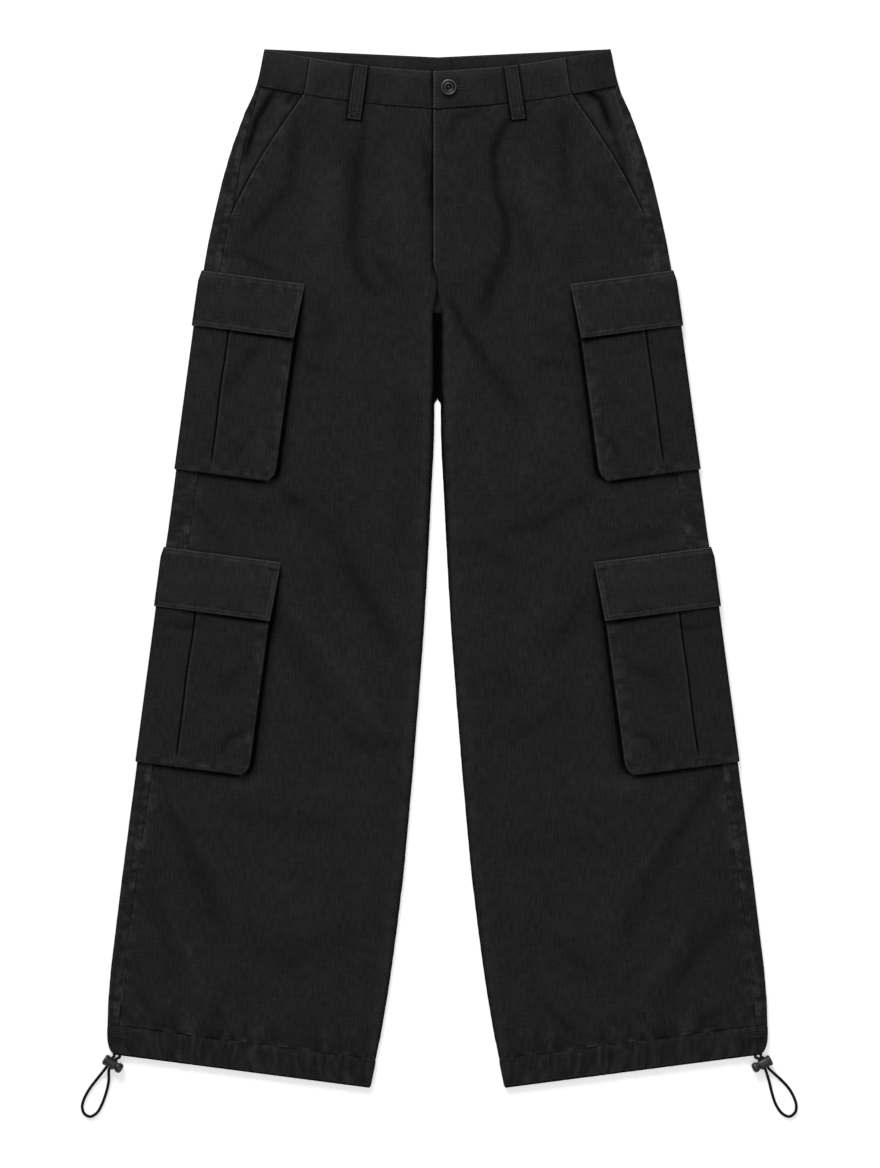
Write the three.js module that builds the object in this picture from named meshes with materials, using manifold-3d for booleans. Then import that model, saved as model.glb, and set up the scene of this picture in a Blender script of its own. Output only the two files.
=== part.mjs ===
// Cargo trousers laid flat on their back. The cloth is built as walls: two front and two back
// panels, a waistband, four pleated side pockets with flaps, and gathered hems. Each hem has a
// drawcord with a spring lock.
// Millimetres. +X is the viewer's right, +Y points to the waist, +Z is up from the surface.
// "down" is the distance below the waistband's top corner along the side fold, and "inward" the
// distance from the side fold towards the centre line.

import * as THREE from 'three';
import { mergeVertices } from 'three/addons/utils/BufferGeometryUtils.js';
import Module from 'manifold-3d';

const manifold = await Module();
manifold.setup();

// Driving dimensions of the cloth
const clothWall = 1.5;
const seamGap = 0.3;
const flatHeight = 5.6;
const foldRadius = flatHeight / 2;
const waistTopY = 518.9;
const rowSlope = 0.13;
const layer = clothWall + 0.4;

// Driving dimensions of the waist
const bandDepth = 37;
const bandWall = 2.0;
const bandProud = 0.5;
const bandJoin = { top: 45, bottom: 47 };
const bandUnderlap = 20;
const bandOverlap = 4.3;
const bandLapLift = 2.3;
const backRise = 0.047;
const waistBow = 3.5;
const waistBowRows = { full: 60, none: 130 };
const backRiseRows = { start: 40, end: 250 };
const loopLift = 1.5;
const loopLiftRows = { full: 55, none: 95 };
const loopWall = 1.2;
const loopWidth = 14;
const loopTail = 12;
const loopLean = 0.13;

// Driving dimensions of the fly
const flyOverlap = 4;
const flyUnderlap = 8;
const flyLift = clothWall + seamGap;
const flyLiftSpare = 3;
const flyLiftEnd = 60;
const fly = { underEnd: 172, underGone: 186, overGone: 199, flat: 212 };

// Driving dimensions of the hem
const hemTop = 974;
const hemBottom = 1004.5;
const hemWall = 2.2;
const gatherCount = 14;
const gatherHeight = 1.1;

// Cord and lock
const cordDiameter = 2.9;
const cordSides = 8;
const lock = {
  length: 21, barrelDiameter: 11, boreDiameter: 8.6, stemDiameter: 8, headDiameter: 10,
  endWall: 1.2, frontWall: 1.3, travel: 2.2, slotHeight: 4.1, slotSpare: 0.45, strandSpare: 0.1,
  strandPitch: 3.3, facets: 14,
};

const colours = { cloth: '#242424', button: '#3a3a3c', cord: '#18181a', lock: '#121213' };

// Half width of the garment at its side fold
const sideFoldRows = [
  { down: 0, half: 173 }, { down: 36.5, half: 181 }, { down: 70.5, half: 195 },
  { down: 110.5, half: 209 }, { down: 150.5, half: 219.5 }, { down: 210.5, half: 232 },
  { down: 430.5, half: 262.5 }, { down: 490.5, half: 270.5 }, { down: 730.5, half: 302.5 },
  { down: 810.5, half: 313 }, { down: 870.5, half: 320.5 }, { down: 930.5, half: 327.5 },
  { down: 970, half: 329.6 }, { down: 990.5, half: 329.6 }, { down: 1000, half: 327 },
  { down: 1004.5, half: 323.5 },
];

// Half the gap between the legs at their inner folds, by height below the waist corner
const innerLegRows = [
  { height: 355.5, half: 3.5 }, { height: 390.5, half: 4 }, { height: 450.5, half: 7 },
  { height: 570.5, half: 13.5 }, { height: 690.5, half: 22.5 }, { height: 810.5, half: 33 },
  { height: 870.5, half: 40 }, { height: 930.5, half: 48 }, { height: 990.5, half: 58 },
  { height: 1038, half: 67.5 },
];

// The outseam on the front, and the slanted edge of the hip pocket above its lower end
const outseamRows = [
  { down: 37, inward: 3.5 }, { down: 106, inward: 11.5 }, { down: 140, inward: 15.5 },
  { down: 200, inward: 16 }, { down: 431, inward: 22 }, { down: 725, inward: 16 },
  { down: 975, inward: 11.5 },
];
const slant = { topDown: 37, topInward: 47, bottomDown: 164, bottomInward: 16.2, underlap: 12 };

// Side pockets, named by place. "back" is how far they reach onto the back of the leg.
const pocketBack = 34;
const sidePockets = [
  { name: 'upper', flapTop: 221.5, flapBottom: 277, flapEdge: 100, edge: 98.5, bottom: 420, pleat: 33.5 },
  { name: 'lower', flapTop: 497.5, flapBottom: 557, flapEdge: 114, edge: 111.5, bottom: 712, pleat: 38 },
];
const pocketCut = { inward: 9.5, down: 15 };
const pocketRamp = 18;
const pocketInset = 10;
const pleatDepth = 1.6;
const pocketRise = 24;
const pocketStandRows = [
  { inward: 3, stand: layer }, { inward: 14, stand: 3.1 }, { inward: 36, stand: 4.3 },
  { inward: 56, stand: 4.9 }, { inward: 90, stand: 5.0 },
];
const liftColumns = { full: 36, none: 56 };
const pocketShoulder = { drop: 0.4, width: 4 };

// Where the folds of the fronts die away: near the side pockets, the side fold, the waist, the hem
// and the centre line
const foldClear = {
  pocketSide: { near: 8, far: 30 }, pocketAbove: { near: 10, far: 34 }, pocketBelow: { near: 8, far: 30 },
  side: { near: 22, far: 40 }, waist: { near: 50, far: 75 }, hem: { near: 945, far: 970 },
  centre: { near: 12, far: 28 },
};
const foldLimits = { low: -1.2, high: 1.3 };

// The largest folds of the fronts: a stroke from one end through the middle to the other end, in
// distances right of the centre line and below the waist corner, with its half width and height
const foldRows = [
  { x1: -80, d1: 85, x2: -86, d2: 150, x3: -76, d3: 235, width: 15, height: -1.0 },
  { x1: -50, d1: 130, x2: -38, d2: 185, x3: -50, d3: 235, width: 24, height: 1.0 },
  { x1: -137, d1: 95, x2: -158, d2: 160, x3: -196, d3: 200, width: 15, height: -0.9 },
  { x1: -112, d1: 130, x2: -120, d2: 200, x3: -110, d3: 260, width: 22, height: 0.8 },
  { x1: -157, d1: 440, x2: -98, d2: 478, x3: -36, d3: 606, width: 18, height: -1.0 },
  { x1: -120, d1: 430, x2: -62, d2: 470, x3: -34, d3: 540, width: 20, height: 0.8 },
  { x1: -152, d1: 560, x2: -110, d2: 640, x3: -40, d3: 705, width: 16, height: -1.0 },
  { x1: -140, d1: 540, x2: -92, d2: 618, x3: -42, d3: 672, width: 14, height: 0.9 },
  { x1: -272, d1: 735, x2: -238, d2: 800, x3: -170, d3: 890, width: 16, height: 1.1 },
  { x1: -284, d1: 790, x2: -250, d2: 862, x3: -172, d3: 935, width: 17, height: -1.0 },
  { x1: -288, d1: 840, x2: -258, d2: 905, x3: -205, d3: 960, width: 13, height: 0.9 },
  { x1: -200, d1: 762, x2: -140, d2: 775, x3: -76, d3: 800, width: 18, height: -0.7 },
  { x1: 60, d1: 88, x2: 68, d2: 175, x3: 48, d3: 245, width: 12, height: -1.0 },
  { x1: 20, d1: 66, x2: 12, d2: 90, x3: 8, d3: 112, width: 9, height: -0.6 },
  { x1: 32, d1: 130, x2: 44, d2: 190, x3: 30, d3: 235, width: 18, height: 0.8 },
  { x1: 126, d1: 80, x2: 130, d2: 140, x3: 176, d3: 168, width: 14, height: -0.9 },
  { x1: 12, d1: 245, x2: 56, d2: 322, x3: 98, d3: 370, width: 17, height: -1.0 },
  { x1: 48, d1: 265, x2: 84, d2: 318, x3: 122, d3: 352, width: 18, height: 0.8 },
  { x1: 166, d1: 448, x2: 122, d2: 474, x3: 66, d3: 492, width: 15, height: -0.9 },
  { x1: 30, d1: 494, x2: 72, d2: 520, x3: 112, d3: 552, width: 16, height: -0.7 },
  { x1: 156, d1: 540, x2: 122, d2: 598, x3: 62, d3: 636, width: 16, height: -0.9 },
  { x1: 148, d1: 664, x2: 96, d2: 680, x3: 50, d3: 702, width: 15, height: -0.8 },
  { x1: 272, d1: 735, x2: 226, d2: 805, x3: 160, d3: 896, width: 16, height: -1.2 },
  { x1: 250, d1: 740, x2: 204, d2: 800, x3: 140, d3: 870, width: 16, height: 0.9 },
  { x1: 281, d1: 868, x2: 250, d2: 905, x3: 214, d3: 962, width: 14, height: -1.2 },
  { x1: 262, d1: 850, x2: 226, d2: 900, x3: 184, d3: 958, width: 13, height: 0.9 },
  { x1: 52, d1: 802, x2: 96, d2: 796, x3: 150, d3: 790, width: 16, height: -0.7 },
];

// Helpers for sizes

function clamp01(value) {
  return Math.min(1, Math.max(0, value));
}

function ramp(value, from, to) {
  return clamp01((value - from) / (to - from));
}

function smooth(value, from, to) {
  const t = ramp(value, from, to);
  return t * t * (3 - 2 * t);
}

function mix(a, b, t) {
  return a + (b - a) * t;
}

// Straight reading of a table between its rows
function readTable(rows, key, column, value) {
  let index = rows.findIndex((row) => row[key] > value);
  if (index === 0) index = 1;
  if (index < 0) return rows[rows.length - 1][column];
  const low = rows[index - 1];
  const high = rows[index];
  return mix(low[column], high[column], ramp(value, low[key], high[key]));
}

// Smooth curve through a table's rows
function curveTable(rows, key, column) {
  const slopes = rows.map((row, i) => {
    const before = rows[Math.max(0, i - 1)];
    const after = rows[Math.min(rows.length - 1, i + 1)];
    return (after[column] - before[column]) / (after[key] - before[key]);
  });
  return (value) => {
    let index = rows.findIndex((row) => row[key] > value);
    if (index === 0) index = 1;
    if (index < 0) index = rows.length - 1;
    const low = rows[index - 1];
    const high = rows[index];
    const span = high[key] - low[key];
    const t = clamp01((value - low[key]) / span);
    const t2 = t * t;
    const t3 = t2 * t;
    return low[column] * (2 * t3 - 3 * t2 + 1) + high[column] * (3 * t2 - 2 * t3)
      + span * (slopes[index - 1] * (t3 - 2 * t2 + t) + slopes[index] * (t3 - t2));
  };
}

const sideHalf = curveTable(sideFoldRows, 'down', 'half');
const innerLegHalf = curveTable(innerLegRows, 'height', 'half');
const outseam = curveTable(outseamRows, 'down', 'inward');

// Heights on the centre line: where the fronts part, and where both legs part at the crotch
const partingHeight = 236;
const grooveHeight = 262;
const crotchHeight = 355.5;
const backPartingHeight = 349;

function frontInnerHalf(height) {
  if (height >= crotchHeight) return innerLegHalf(height);
  return mix(seamGap / 2, innerLegRows[0].half, smooth(height, partingHeight, grooveHeight));
}

function backInnerHalf(height) {
  if (height >= crotchHeight) return innerLegHalf(height);
  return mix(seamGap / 2, innerLegRows[0].half, smooth(height, backPartingHeight, crotchHeight));
}

// Angle of each panel's edge on the inner fold: 90 is flat on top, 0 is mid height, -90 below
const edgeAngles = { front: 80, groove: -22, inseam: 3.1, back: -80 };
const inseamStart = backPartingHeight - 12;
function frontEdgeAngle(height) {
  const dive = mix(edgeAngles.front, edgeAngles.groove, smooth(height, partingHeight, grooveHeight));
  return mix(dive, edgeAngles.inseam, smooth(height, inseamStart, backPartingHeight));
}

function backEdgeAngle(height) {
  return mix(edgeAngles.back, -edgeAngles.inseam, smooth(height, backPartingHeight, crotchHeight));
}

function slopeOf(face, down) {
  if (face !== 'back') return rowSlope;
  return mix(backRise, rowSlope, smooth(down, backRiseRows.start, backRiseRows.end));
}

// Height below the waist corner of a point on a row
function rowHeight(face, down, inward) {
  const bow = face === 'front' ? waistBow * (1 - smooth(down, waistBowRows.full, waistBowRows.none)) : 0;
  const half = sideHalf(down);
  const toCentre = Math.min(inward, 2 * half - inward);
  return down + slopeOf(face, down) * toCentre + bow * Math.sin(Math.PI * clamp01(toCentre / half));
}

// Distance inward at which a row meets the leg's inner edge
function innerReach(face, down) {
  const half = face === 'back' ? backInnerHalf : frontInnerHalf;
  let inward = sideHalf(down);
  for (let pass = 0; pass < 6; pass += 1) {
    inward = sideHalf(down) - half(rowHeight(face, down, inward));
  }
  return inward;
}

// How far the cloth is lifted off the surface by the layers that wrap under it
function sideLift(inward, down) {
  const across = 1 - ramp(inward, liftColumns.full, liftColumns.none);
  let lift = 0;
  for (const pocket of sidePockets) {
    const rise = ramp(down, pocket.flapTop - pocketRamp, pocket.flapTop);
    lift += layer * rise * (1 - ramp(down, pocket.bottom, pocket.bottom + pocketRamp));
    lift += layer * rise * (1 - ramp(down, pocket.flapBottom, pocket.flapBottom + pocketRamp));
  }
  return lift * across;
}

function waistLift(down) {
  return loopLift * (1 - ramp(down, loopLiftRows.full, loopLiftRows.none));
}

// Folds of the fronts, left out under the side pockets
function foldHeight(x, height, inward, down) {
  const { pocketSide, pocketAbove, pocketBelow, side, waist, hem, centre } = foldClear;
  let cover = 1;
  for (const pocket of sidePockets) {
    const across = 1 - smooth(inward, pocket.flapEdge + pocketSide.near, pocket.flapEdge + pocketSide.far);
    const above = smooth(down, pocket.flapTop - pocketAbove.far, pocket.flapTop - pocketAbove.near);
    const below = 1 - smooth(down, pocket.bottom + pocketBelow.near, pocket.bottom + pocketBelow.far);
    cover *= 1 - across * above * below;
  }
  cover *= smooth(inward, side.near, side.far) * smooth(down, waist.near, waist.far);
  cover *= (1 - smooth(down, hem.near, hem.far)) * smooth(Math.abs(x), centre.near, centre.far);
  let sum = 0;
  for (const fold of foldRows) {
    const first = strokeDistance(x, height, fold.x1, fold.d1, fold.x2, fold.d2);
    const second = strokeDistance(x, height, fold.x2, fold.d2, fold.x3, fold.d3);
    const nearest = first.distance < second.distance ? first : second;
    const along = (nearest === first ? 0 : 1) + nearest.t;
    const fade = smooth(along, -0.3, 0.5) * (1 - smooth(along, 1.5, 2.3));
    sum += fold.height * fade * Math.exp(-((nearest.distance / fold.width) ** 2));
  }
  return cover * THREE.MathUtils.clamp(sum, foldLimits.low, foldLimits.high);
}

function strokeDistance(x, y, ax, ay, bx, by) {
  const t = clamp01(((x - ax) * (bx - ax) + (y - ay) * (by - ay)) / ((bx - ax) ** 2 + (by - ay) ** 2));
  return { t, distance: Math.hypot(x - mix(ax, bx, t), y - mix(ay, by, t)) };
}

// A point of the garment's outer skin, moved out by "stand". The column says where it is across
// the row: on the flat front or back at a distance inward, or on the side or inner fold at an
// angle, where 90 is the top of the fold and -90 the underside.
function skin(side, column, down, stand = 0, options = {}) {
  const angle = THREE.MathUtils.degToRad(column.angle ?? 0);
  const onFront = column.at === 'front' || (column.angle !== undefined && column.angle > 0);
  const face = column.face ?? (onFront ? 'front' : 'back');
  let inward;
  let z;
  let foldLift = 0;
  if (column.at === 'side') {
    inward = foldRadius - (foldRadius + stand) * Math.cos(angle);
    z = foldRadius + (foldRadius + stand) * Math.sin(angle);
  } else if (column.at === 'inner') {
    inward = column.centre + (foldRadius + stand) * Math.cos(angle);
    z = foldRadius + (foldRadius + stand) * Math.sin(angle);
  } else {
    inward = column.inward;
    z = column.at === 'front' ? flatHeight + stand : -stand;
  }
  const height = rowHeight(face, down, inward);
  const x = side * (sideHalf(down) - inward);
  if (onFront && column.at !== 'side') {
    foldLift = foldHeight(x, height, inward, down) + centreLift(side, x, down, options);
  }
  const lift = sideLift(Math.max(0, inward), down) + waistLift(down) + foldLift;
  return new THREE.Vector3(x, waistTopY - height, z + lift);
}

// The right front lies over the left one along the fly
function centreLift(side, x, down, options) {
  if (side < 0) return 0;
  const top = options.band ? bandLapLift : flyLift;
  const start = (options.band ? bandUnderlap : flyUnderlap) + flyLiftSpare;
  return top * (1 - smooth(x, start, flyLiftEnd)) * (1 - ramp(down, fly.overGone, fly.flat));
}

// Rows down the legs: the marked lines, with more between them

function fillRows(marks, step) {
  const rows = [marks[0]];
  for (let i = 1; i < marks.length; i += 1) {
    const count = Math.ceil((marks[i] - marks[i - 1]) / step);
    for (let k = 1; k <= count; k += 1) rows.push(mix(marks[i - 1], marks[i], k / count));
  }
  return rows;
}

const panelTop = bandDepth + seamGap;
const panelBottom = hemTop - seamGap;
const pocketMarks = sidePockets.flatMap((pocket) => [
  pocket.flapTop - pocketRamp, pocket.flapTop, pocket.flapTop + pocketInset,
  pocket.flapTop + pocketInset + pocketRise, pocket.flapBottom,
  pocket.flapBottom + pocketRamp, pocket.bottom - pocketCut.down, pocket.bottom, pocket.bottom + pocketRamp,
]);
const crotchMarks = [300, 316.5, 323];
const marks = [
  panelTop, loopLiftRows.full, loopLiftRows.none, slant.bottomDown, fly.underEnd, fly.underGone, fly.overGone,
  fly.flat, ...crotchMarks, ...pocketMarks, panelBottom,
];
const rowStep = 32;
const rowSpare = 2;
const legRows = fillRows(marks.sort((a, b) => a - b), rowStep);

function rowsBetween(top, bottom) {
  return [top, ...legRows.filter((row) => row > top + rowSpare && row < bottom - rowSpare), bottom];
}

// Solids

// A wall between an outer and an inner grid of points, closed along its edges
function wall(outer, inner, closed = false) {
  const points = [];
  const keys = new Map();
  const faces = [];
  const indexOf = (point) => {
    const key = `${point.x.toFixed(4)},${point.y.toFixed(4)},${point.z.toFixed(4)}`;
    if (!keys.has(key)) {
      keys.set(key, points.length);
      points.push(point);
    }
    return keys.get(key);
  };
  const face = (a, b, c) => {
    const corners = [indexOf(a), indexOf(b), indexOf(c)];
    if (new Set(corners).size === 3) faces.push(corners);
  };
  const quad = (a, b, c, d) => {
    face(a, b, c);
    face(a, c, d);
  };
  const rows = outer.length;
  const columns = outer[0].length;
  const across = closed ? columns : columns - 1;
  for (let r = 0; r + 1 < rows; r += 1) {
    for (let c = 0; c < across; c += 1) {
      const n = (c + 1) % columns;
      quad(outer[r][c], outer[r][n], outer[r + 1][n], outer[r + 1][c]);
      quad(inner[r][c], inner[r + 1][c], inner[r + 1][n], inner[r][n]);
    }
  }
  for (let c = 0; c < across; c += 1) {
    const n = (c + 1) % columns;
    quad(outer[0][c], inner[0][c], inner[0][n], outer[0][n]);
    quad(outer[rows - 1][n], inner[rows - 1][n], inner[rows - 1][c], outer[rows - 1][c]);
  }
  if (!closed) {
    const end = columns - 1;
    for (let r = 0; r + 1 < rows; r += 1) {
      quad(outer[r][0], outer[r + 1][0], inner[r + 1][0], inner[r][0]);
      quad(outer[r + 1][end], outer[r][end], inner[r][end], inner[r + 1][end]);
    }
  }
  return solidGeometry(points, faces);
}

function solidGeometry(points, faces) {
  let volume = 0;
  const cross = new THREE.Vector3();
  for (const [a, b, c] of faces) volume += points[a].dot(cross.crossVectors(points[b], points[c]));
  const geometry = new THREE.BufferGeometry();
  const places = points.flatMap((point) => point.toArray());
  geometry.setAttribute('position', new THREE.Float32BufferAttribute(places, 3));
  geometry.setIndex(faces.flatMap(([a, b, c]) => (volume > 0 ? [a, b, c] : [a, c, b])));
  return geometry;
}

// A wall from a function that gives the point for a row, a column and a stand
function clothWallOf(rows, columnsOf, pointOf, thickness, standOf = () => 0) {
  const grid = (drop) => rows.map((down) => columnsOf(down).map((column) => (
    pointOf(column, down, standOf(column, down) - drop))));
  return wall(grid(0), grid(thickness));
}

const garment = new THREE.Group();

function addPiece(name, geometry, colour, roughness = 0.9, metalness = 0) {
  const material = new THREE.MeshStandardMaterial({ color: colour, roughness, metalness });
  const mesh = new THREE.Mesh(geometry, material);
  mesh.name = name;
  garment.add(mesh);
  return mesh;
}

function sideName(side) {
  return side < 0 ? 'left' : 'right';
}

// Columns

const stripLeast = 0.4;
const foldAngles = [90, 45, 0, -45, -90];
const frontKnots = [liftColumns.full, liftColumns.none, 84, 120];

// Where the front panel starts: the slanted pocket edge, then the outseam
function frontStart(down) {
  if (down >= slant.bottomDown) return outseam(down) + seamGap / 2;
  return mix(slant.topInward, slant.bottomInward, ramp(down, slant.topDown, slant.bottomDown));
}

// The fly: the right front laps over the left one above the end of the fly
function flyReach(side, down, overlap, underlap) {
  const past = side > 0 ? overlap : underlap;
  const start = side > 0 ? fly.underGone : fly.underEnd;
  const end = side > 0 ? fly.overGone : fly.underGone;
  return (past + seamGap / 2) * (1 - ramp(down, start, end));
}

function frontColumns(side, down) {
  const reach = innerReach('front', down);
  const angle = frontEdgeAngle(rowHeight('front', down, reach));
  const bend = Math.cos(THREE.MathUtils.degToRad(Math.max(0, angle)));
  const centre = reach + flyReach(side, down, flyOverlap, flyUnderlap) - foldRadius * bend;
  const start = frontStart(down);
  const knots = frontKnots.map((knot) => Math.max(knot, start + 1 + knot * 0.02));
  const lastKnot = knots[knots.length - 1];
  const middle = Math.min(sideHalf(down), centre - 2);
  const rest = [0.25, 0.5, 0.75, 1].map((t) => mix(lastKnot, middle, t));
  rest.push(centre);
  const columns = [start, ...knots, ...rest].map((inward) => ({ at: 'front', inward }));
  columns.push({ at: 'inner', centre, angle: mix(90, angle, 0.5), face: 'front' });
  columns.push({ at: 'inner', centre, angle, face: 'front' });
  return columns;
}

function backColumns(down) {
  const reach = innerReach('back', down);
  const angle = backEdgeAngle(rowHeight('back', down, reach));
  const bend = Math.cos(THREE.MathUtils.degToRad(angle));
  const centre = reach - foldRadius * bend;
  const strip = Math.max(outseam(down) - seamGap / 2, foldRadius + stripLeast);
  const columns = [{ at: 'front', inward: strip }];
  for (const foldAngle of foldAngles) columns.push({ at: 'side', angle: foldAngle });
  const flat = [liftColumns.full, liftColumns.none, centre];
  for (const inward of flat) columns.push({ at: 'back', inward });
  columns.push({ at: 'inner', centre, angle: mix(-90, angle, 0.5), face: 'back' });
  columns.push({ at: 'inner', centre, angle, face: 'back' });
  return columns;
}

// Leg panels

for (const side of [-1, 1]) {
  const rows = rowsBetween(panelTop, panelBottom);
  const place = (column, down, stand) => skin(side, column, down, stand);
  const front = clothWallOf(rows, (down) => frontColumns(side, down), place, clothWall);
  addPiece(`front_${sideName(side)}`, front, colours.cloth);
  const back = clothWallOf(rows, backColumns, place, clothWall);
  addPiece(`back_${sideName(side)}`, back, colours.cloth);
}

// Facing that shows in the slanted hip pocket, one layer below the front

const facingBehind = 4;
for (const side of [-1, 1]) {
  const rows = rowsBetween(panelTop, slant.bottomDown - rowSpare);
  const columnsOf = (down) => {
    const start = Math.max(outseam(down) - facingBehind, foldRadius);
    const end = frontStart(down) + slant.underlap;
    return [0, 0.35, 0.7, 1].map((t) => ({ at: 'front', inward: mix(start, end, t) }));
  };
  const place = (column, down, stand) => skin(side, column, down, stand - clothWall - seamGap);
  addPiece(`hip_facing_${sideName(side)}`, clothWallOf(rows, columnsOf, place, clothWall), colours.cloth);
}

// Waistband

const bandRows = [0, 0.25, 0.5, 0.75, 1].map((t) => t * bandDepth);

function joinInward(down) {
  return mix(bandJoin.top, bandJoin.bottom, down / bandDepth);
}

// The band stands proud on the front, and its edges are rolled a little
const bandRoll = { height: 0.25, reach: 5 };
function bandStand(column, down) {
  if (column.at !== 'front' && !(column.angle > 0)) return 0;
  return bandProud - bandRoll.height * (1 - smooth(Math.min(down, bandDepth - down), 0, bandRoll.reach));
}

for (const side of [-1, 1]) {
  const columnsOf = (down) => {
    const start = joinInward(down) + seamGap / 2;
    const half = sideHalf(down);
    const inwards = [0, 1, 2, 3, 4, 5, 6].map((i) => mix(start, half, i / 6));
    inwards.push(half + (side > 0 ? bandOverlap : bandUnderlap));
    return inwards.map((inward) => ({ at: 'front', inward }));
  };
  const place = (column, down, stand) => skin(side, column, down, stand, { band: true });
  const band = clothWallOf(bandRows, columnsOf, place, bandWall, bandStand);
  addPiece(`waistband_front_${sideName(side)}`, band, colours.cloth);
}

{
  const columnsOf = (down) => {
    const half = [];
    const start = joinInward(down) - seamGap / 2;
    for (const t of [0, 0.5, 1]) half.push({ at: 'front', inward: mix(start, foldRadius + 1, t) });
    for (const angle of foldAngles) half.push({ at: 'side', angle });
    for (const t of [0.25, 0.5, 0.75]) half.push({ at: 'back', inward: mix(foldRadius, sideHalf(down), t) });
    const left = half.map((column) => ({ ...column, side: -1 }));
    const right = half.map((column) => ({ ...column, side: 1 }));
    return [...left, { at: 'back', inward: sideHalf(down), side: 1 }, ...right.reverse()];
  };
  const place = (column, down, stand) => skin(column.side, column, down, stand);
  addPiece('waistband_back', clothWallOf(bandRows, columnsOf, place, bandWall, bandStand), colours.cloth);
}

// Belt loops: two on the front, which lean outwards, and three on the back

// Outer skin of the front at a place, found by walking the rows
function frontSurface(x, height, options) {
  const side = Math.sign(x);
  let down = height;
  let inward = 0;
  for (let pass = 0; pass < 8; pass += 1) {
    inward = sideHalf(down) - Math.abs(x);
    down = height - (rowHeight('front', down, inward) - down);
  }
  return { down, point: skin(side, { at: 'front', inward }, down, 0, options) };
}

const frontLoops = [
  { side: -1, topX: 76, bottomX: 83.5, topHeight: 15.5, bottomHeight: 71 },
  { side: 1, topX: 73, bottomX: 81, topHeight: 16.5, bottomHeight: 71 },
];
const loopStand = 1.5;
const loopStep = 4;
for (const loop of frontLoops) {
  const steps = [0, 0.06, 0.14, 0.3, 0.5, 0.7, 0.86, 0.94, 1];
  const rows = steps.map((t) => {
    const x = loop.side * mix(loop.topX, loop.bottomX, t);
    const height = mix(loop.topHeight, loop.bottomHeight, t);
    const found = frontSurface(x, height, { band: true });
    const proud = found.down < panelTop + loopStep ? bandProud : 0;
    const stand = seamGap + proud + loopStand * smooth(Math.min(t, 1 - t), 0, steps[2]);
    return { x, y: found.point.y, z: found.point.z + stand };
  });
  const grid = (rise) => rows.map((row) => [-1, 0, 1].map((edge) => (
    new THREE.Vector3(
      row.x + edge * loopWidth / 2,
      row.y + loop.side * edge * loopLean * loopWidth / 2,
      row.z + rise,
    ))));
  addPiece(`belt_loop_front_${sideName(loop.side)}`, wall(grid(loopWall), grid(0)), colours.cloth);
}

const backLoops = [{ name: 'left', x: -95 }, { name: 'centre', x: 0 }, { name: 'right', x: 95 }];
for (const loop of backLoops) {
  const heightAt = (down) => rowHeight('back', down, sideHalf(down) - Math.abs(loop.x));
  const top = heightAt(0) + 1;
  const bottom = heightAt(bandDepth) + loopTail;
  const grid = (z) => [0, 0.33, 0.67, 1].map((t) => [-1, 0, 1].map((edge) => (
    new THREE.Vector3(loop.x + edge * loopWidth / 2, waistTopY - mix(top, bottom, t), z))));
  addPiece(`belt_loop_back_${loop.name}`, wall(grid(loopWall), grid(0)), colours.cloth);
}

// Shank button on the lapped end of the waistband

const button = { x: 11.3, height: 39, radius: 8.15, thickness: 3.2 };
{
  const seat = frontSurface(button.x, button.height, { band: true }).point;
  const shape = [
    [0, 0], [button.radius - 1.4, 0], [button.radius, 1.2], [button.radius - 0.2, 2.2],
    [button.radius - 1.3, button.thickness], [button.radius - 2.8, button.thickness - 0.3],
    [4.2, 1.9], [2.4, 1.7], [1.6, 2.3], [0, 2.4],
  ].map(([radius, z]) => new THREE.Vector2(radius, z));
  const geometry = closedGeometry(new THREE.LatheGeometry(shape, 16));
  geometry.rotateX(Math.PI / 2);
  geometry.translate(seat.x, seat.y, seat.z + bandProud + seamGap);
  addPiece('waist_button', geometry, colours.button, 0.35, 0.9);
}

function closedGeometry(geometry) {
  geometry.deleteAttribute('normal');
  geometry.deleteAttribute('uv');
  return mergeVertices(geometry, 1e-4);
}

// Side pockets and flaps

function pocketStand(pocket, inward, down) {
  const full = readTable(pocketStandRows, 'inward', 'stand', inward);
  const top = pocket.flapTop + pocketInset;
  const shoulder = pocketShoulder.drop * ramp(inward, pocket.edge - pocketShoulder.width, pocket.edge);
  return mix(layer, full - shoulder, ramp(down, top, top + pocketRise));
}

function pleatDip(pocket, inward, down) {
  const across = 1 - ramp(Math.abs(inward - pocket.pleat), 0.7, 2);
  const start = pocket.flapTop + pocketInset + pocketRise;
  return pleatDepth * across * ramp(down, start, pocket.flapBottom)
    * (1 - ramp(down, pocket.bottom - pocketCut.down, pocket.bottom - clothWall));
}

// Columns from the edge on the back, round the side fold, to the edge on the front
function wrapColumns(frontEdge, backEdge, pleat) {
  const columns = [{ at: 'back', inward: backEdge }];
  for (const angle of [...foldAngles].reverse()) columns.push({ at: 'side', angle });
  const inwards = [14, 36, 56, frontEdge - 4, frontEdge];
  if (pleat) inwards.push(pleat - 2, pleat - 0.7, pleat + 0.7, pleat + 2);
  for (const inward of inwards.sort((a, b) => a - b)) columns.push({ at: 'front', inward });
  return columns;
}

function standInward(column) {
  return column.at === 'front' ? column.inward : 0;
}

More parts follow.
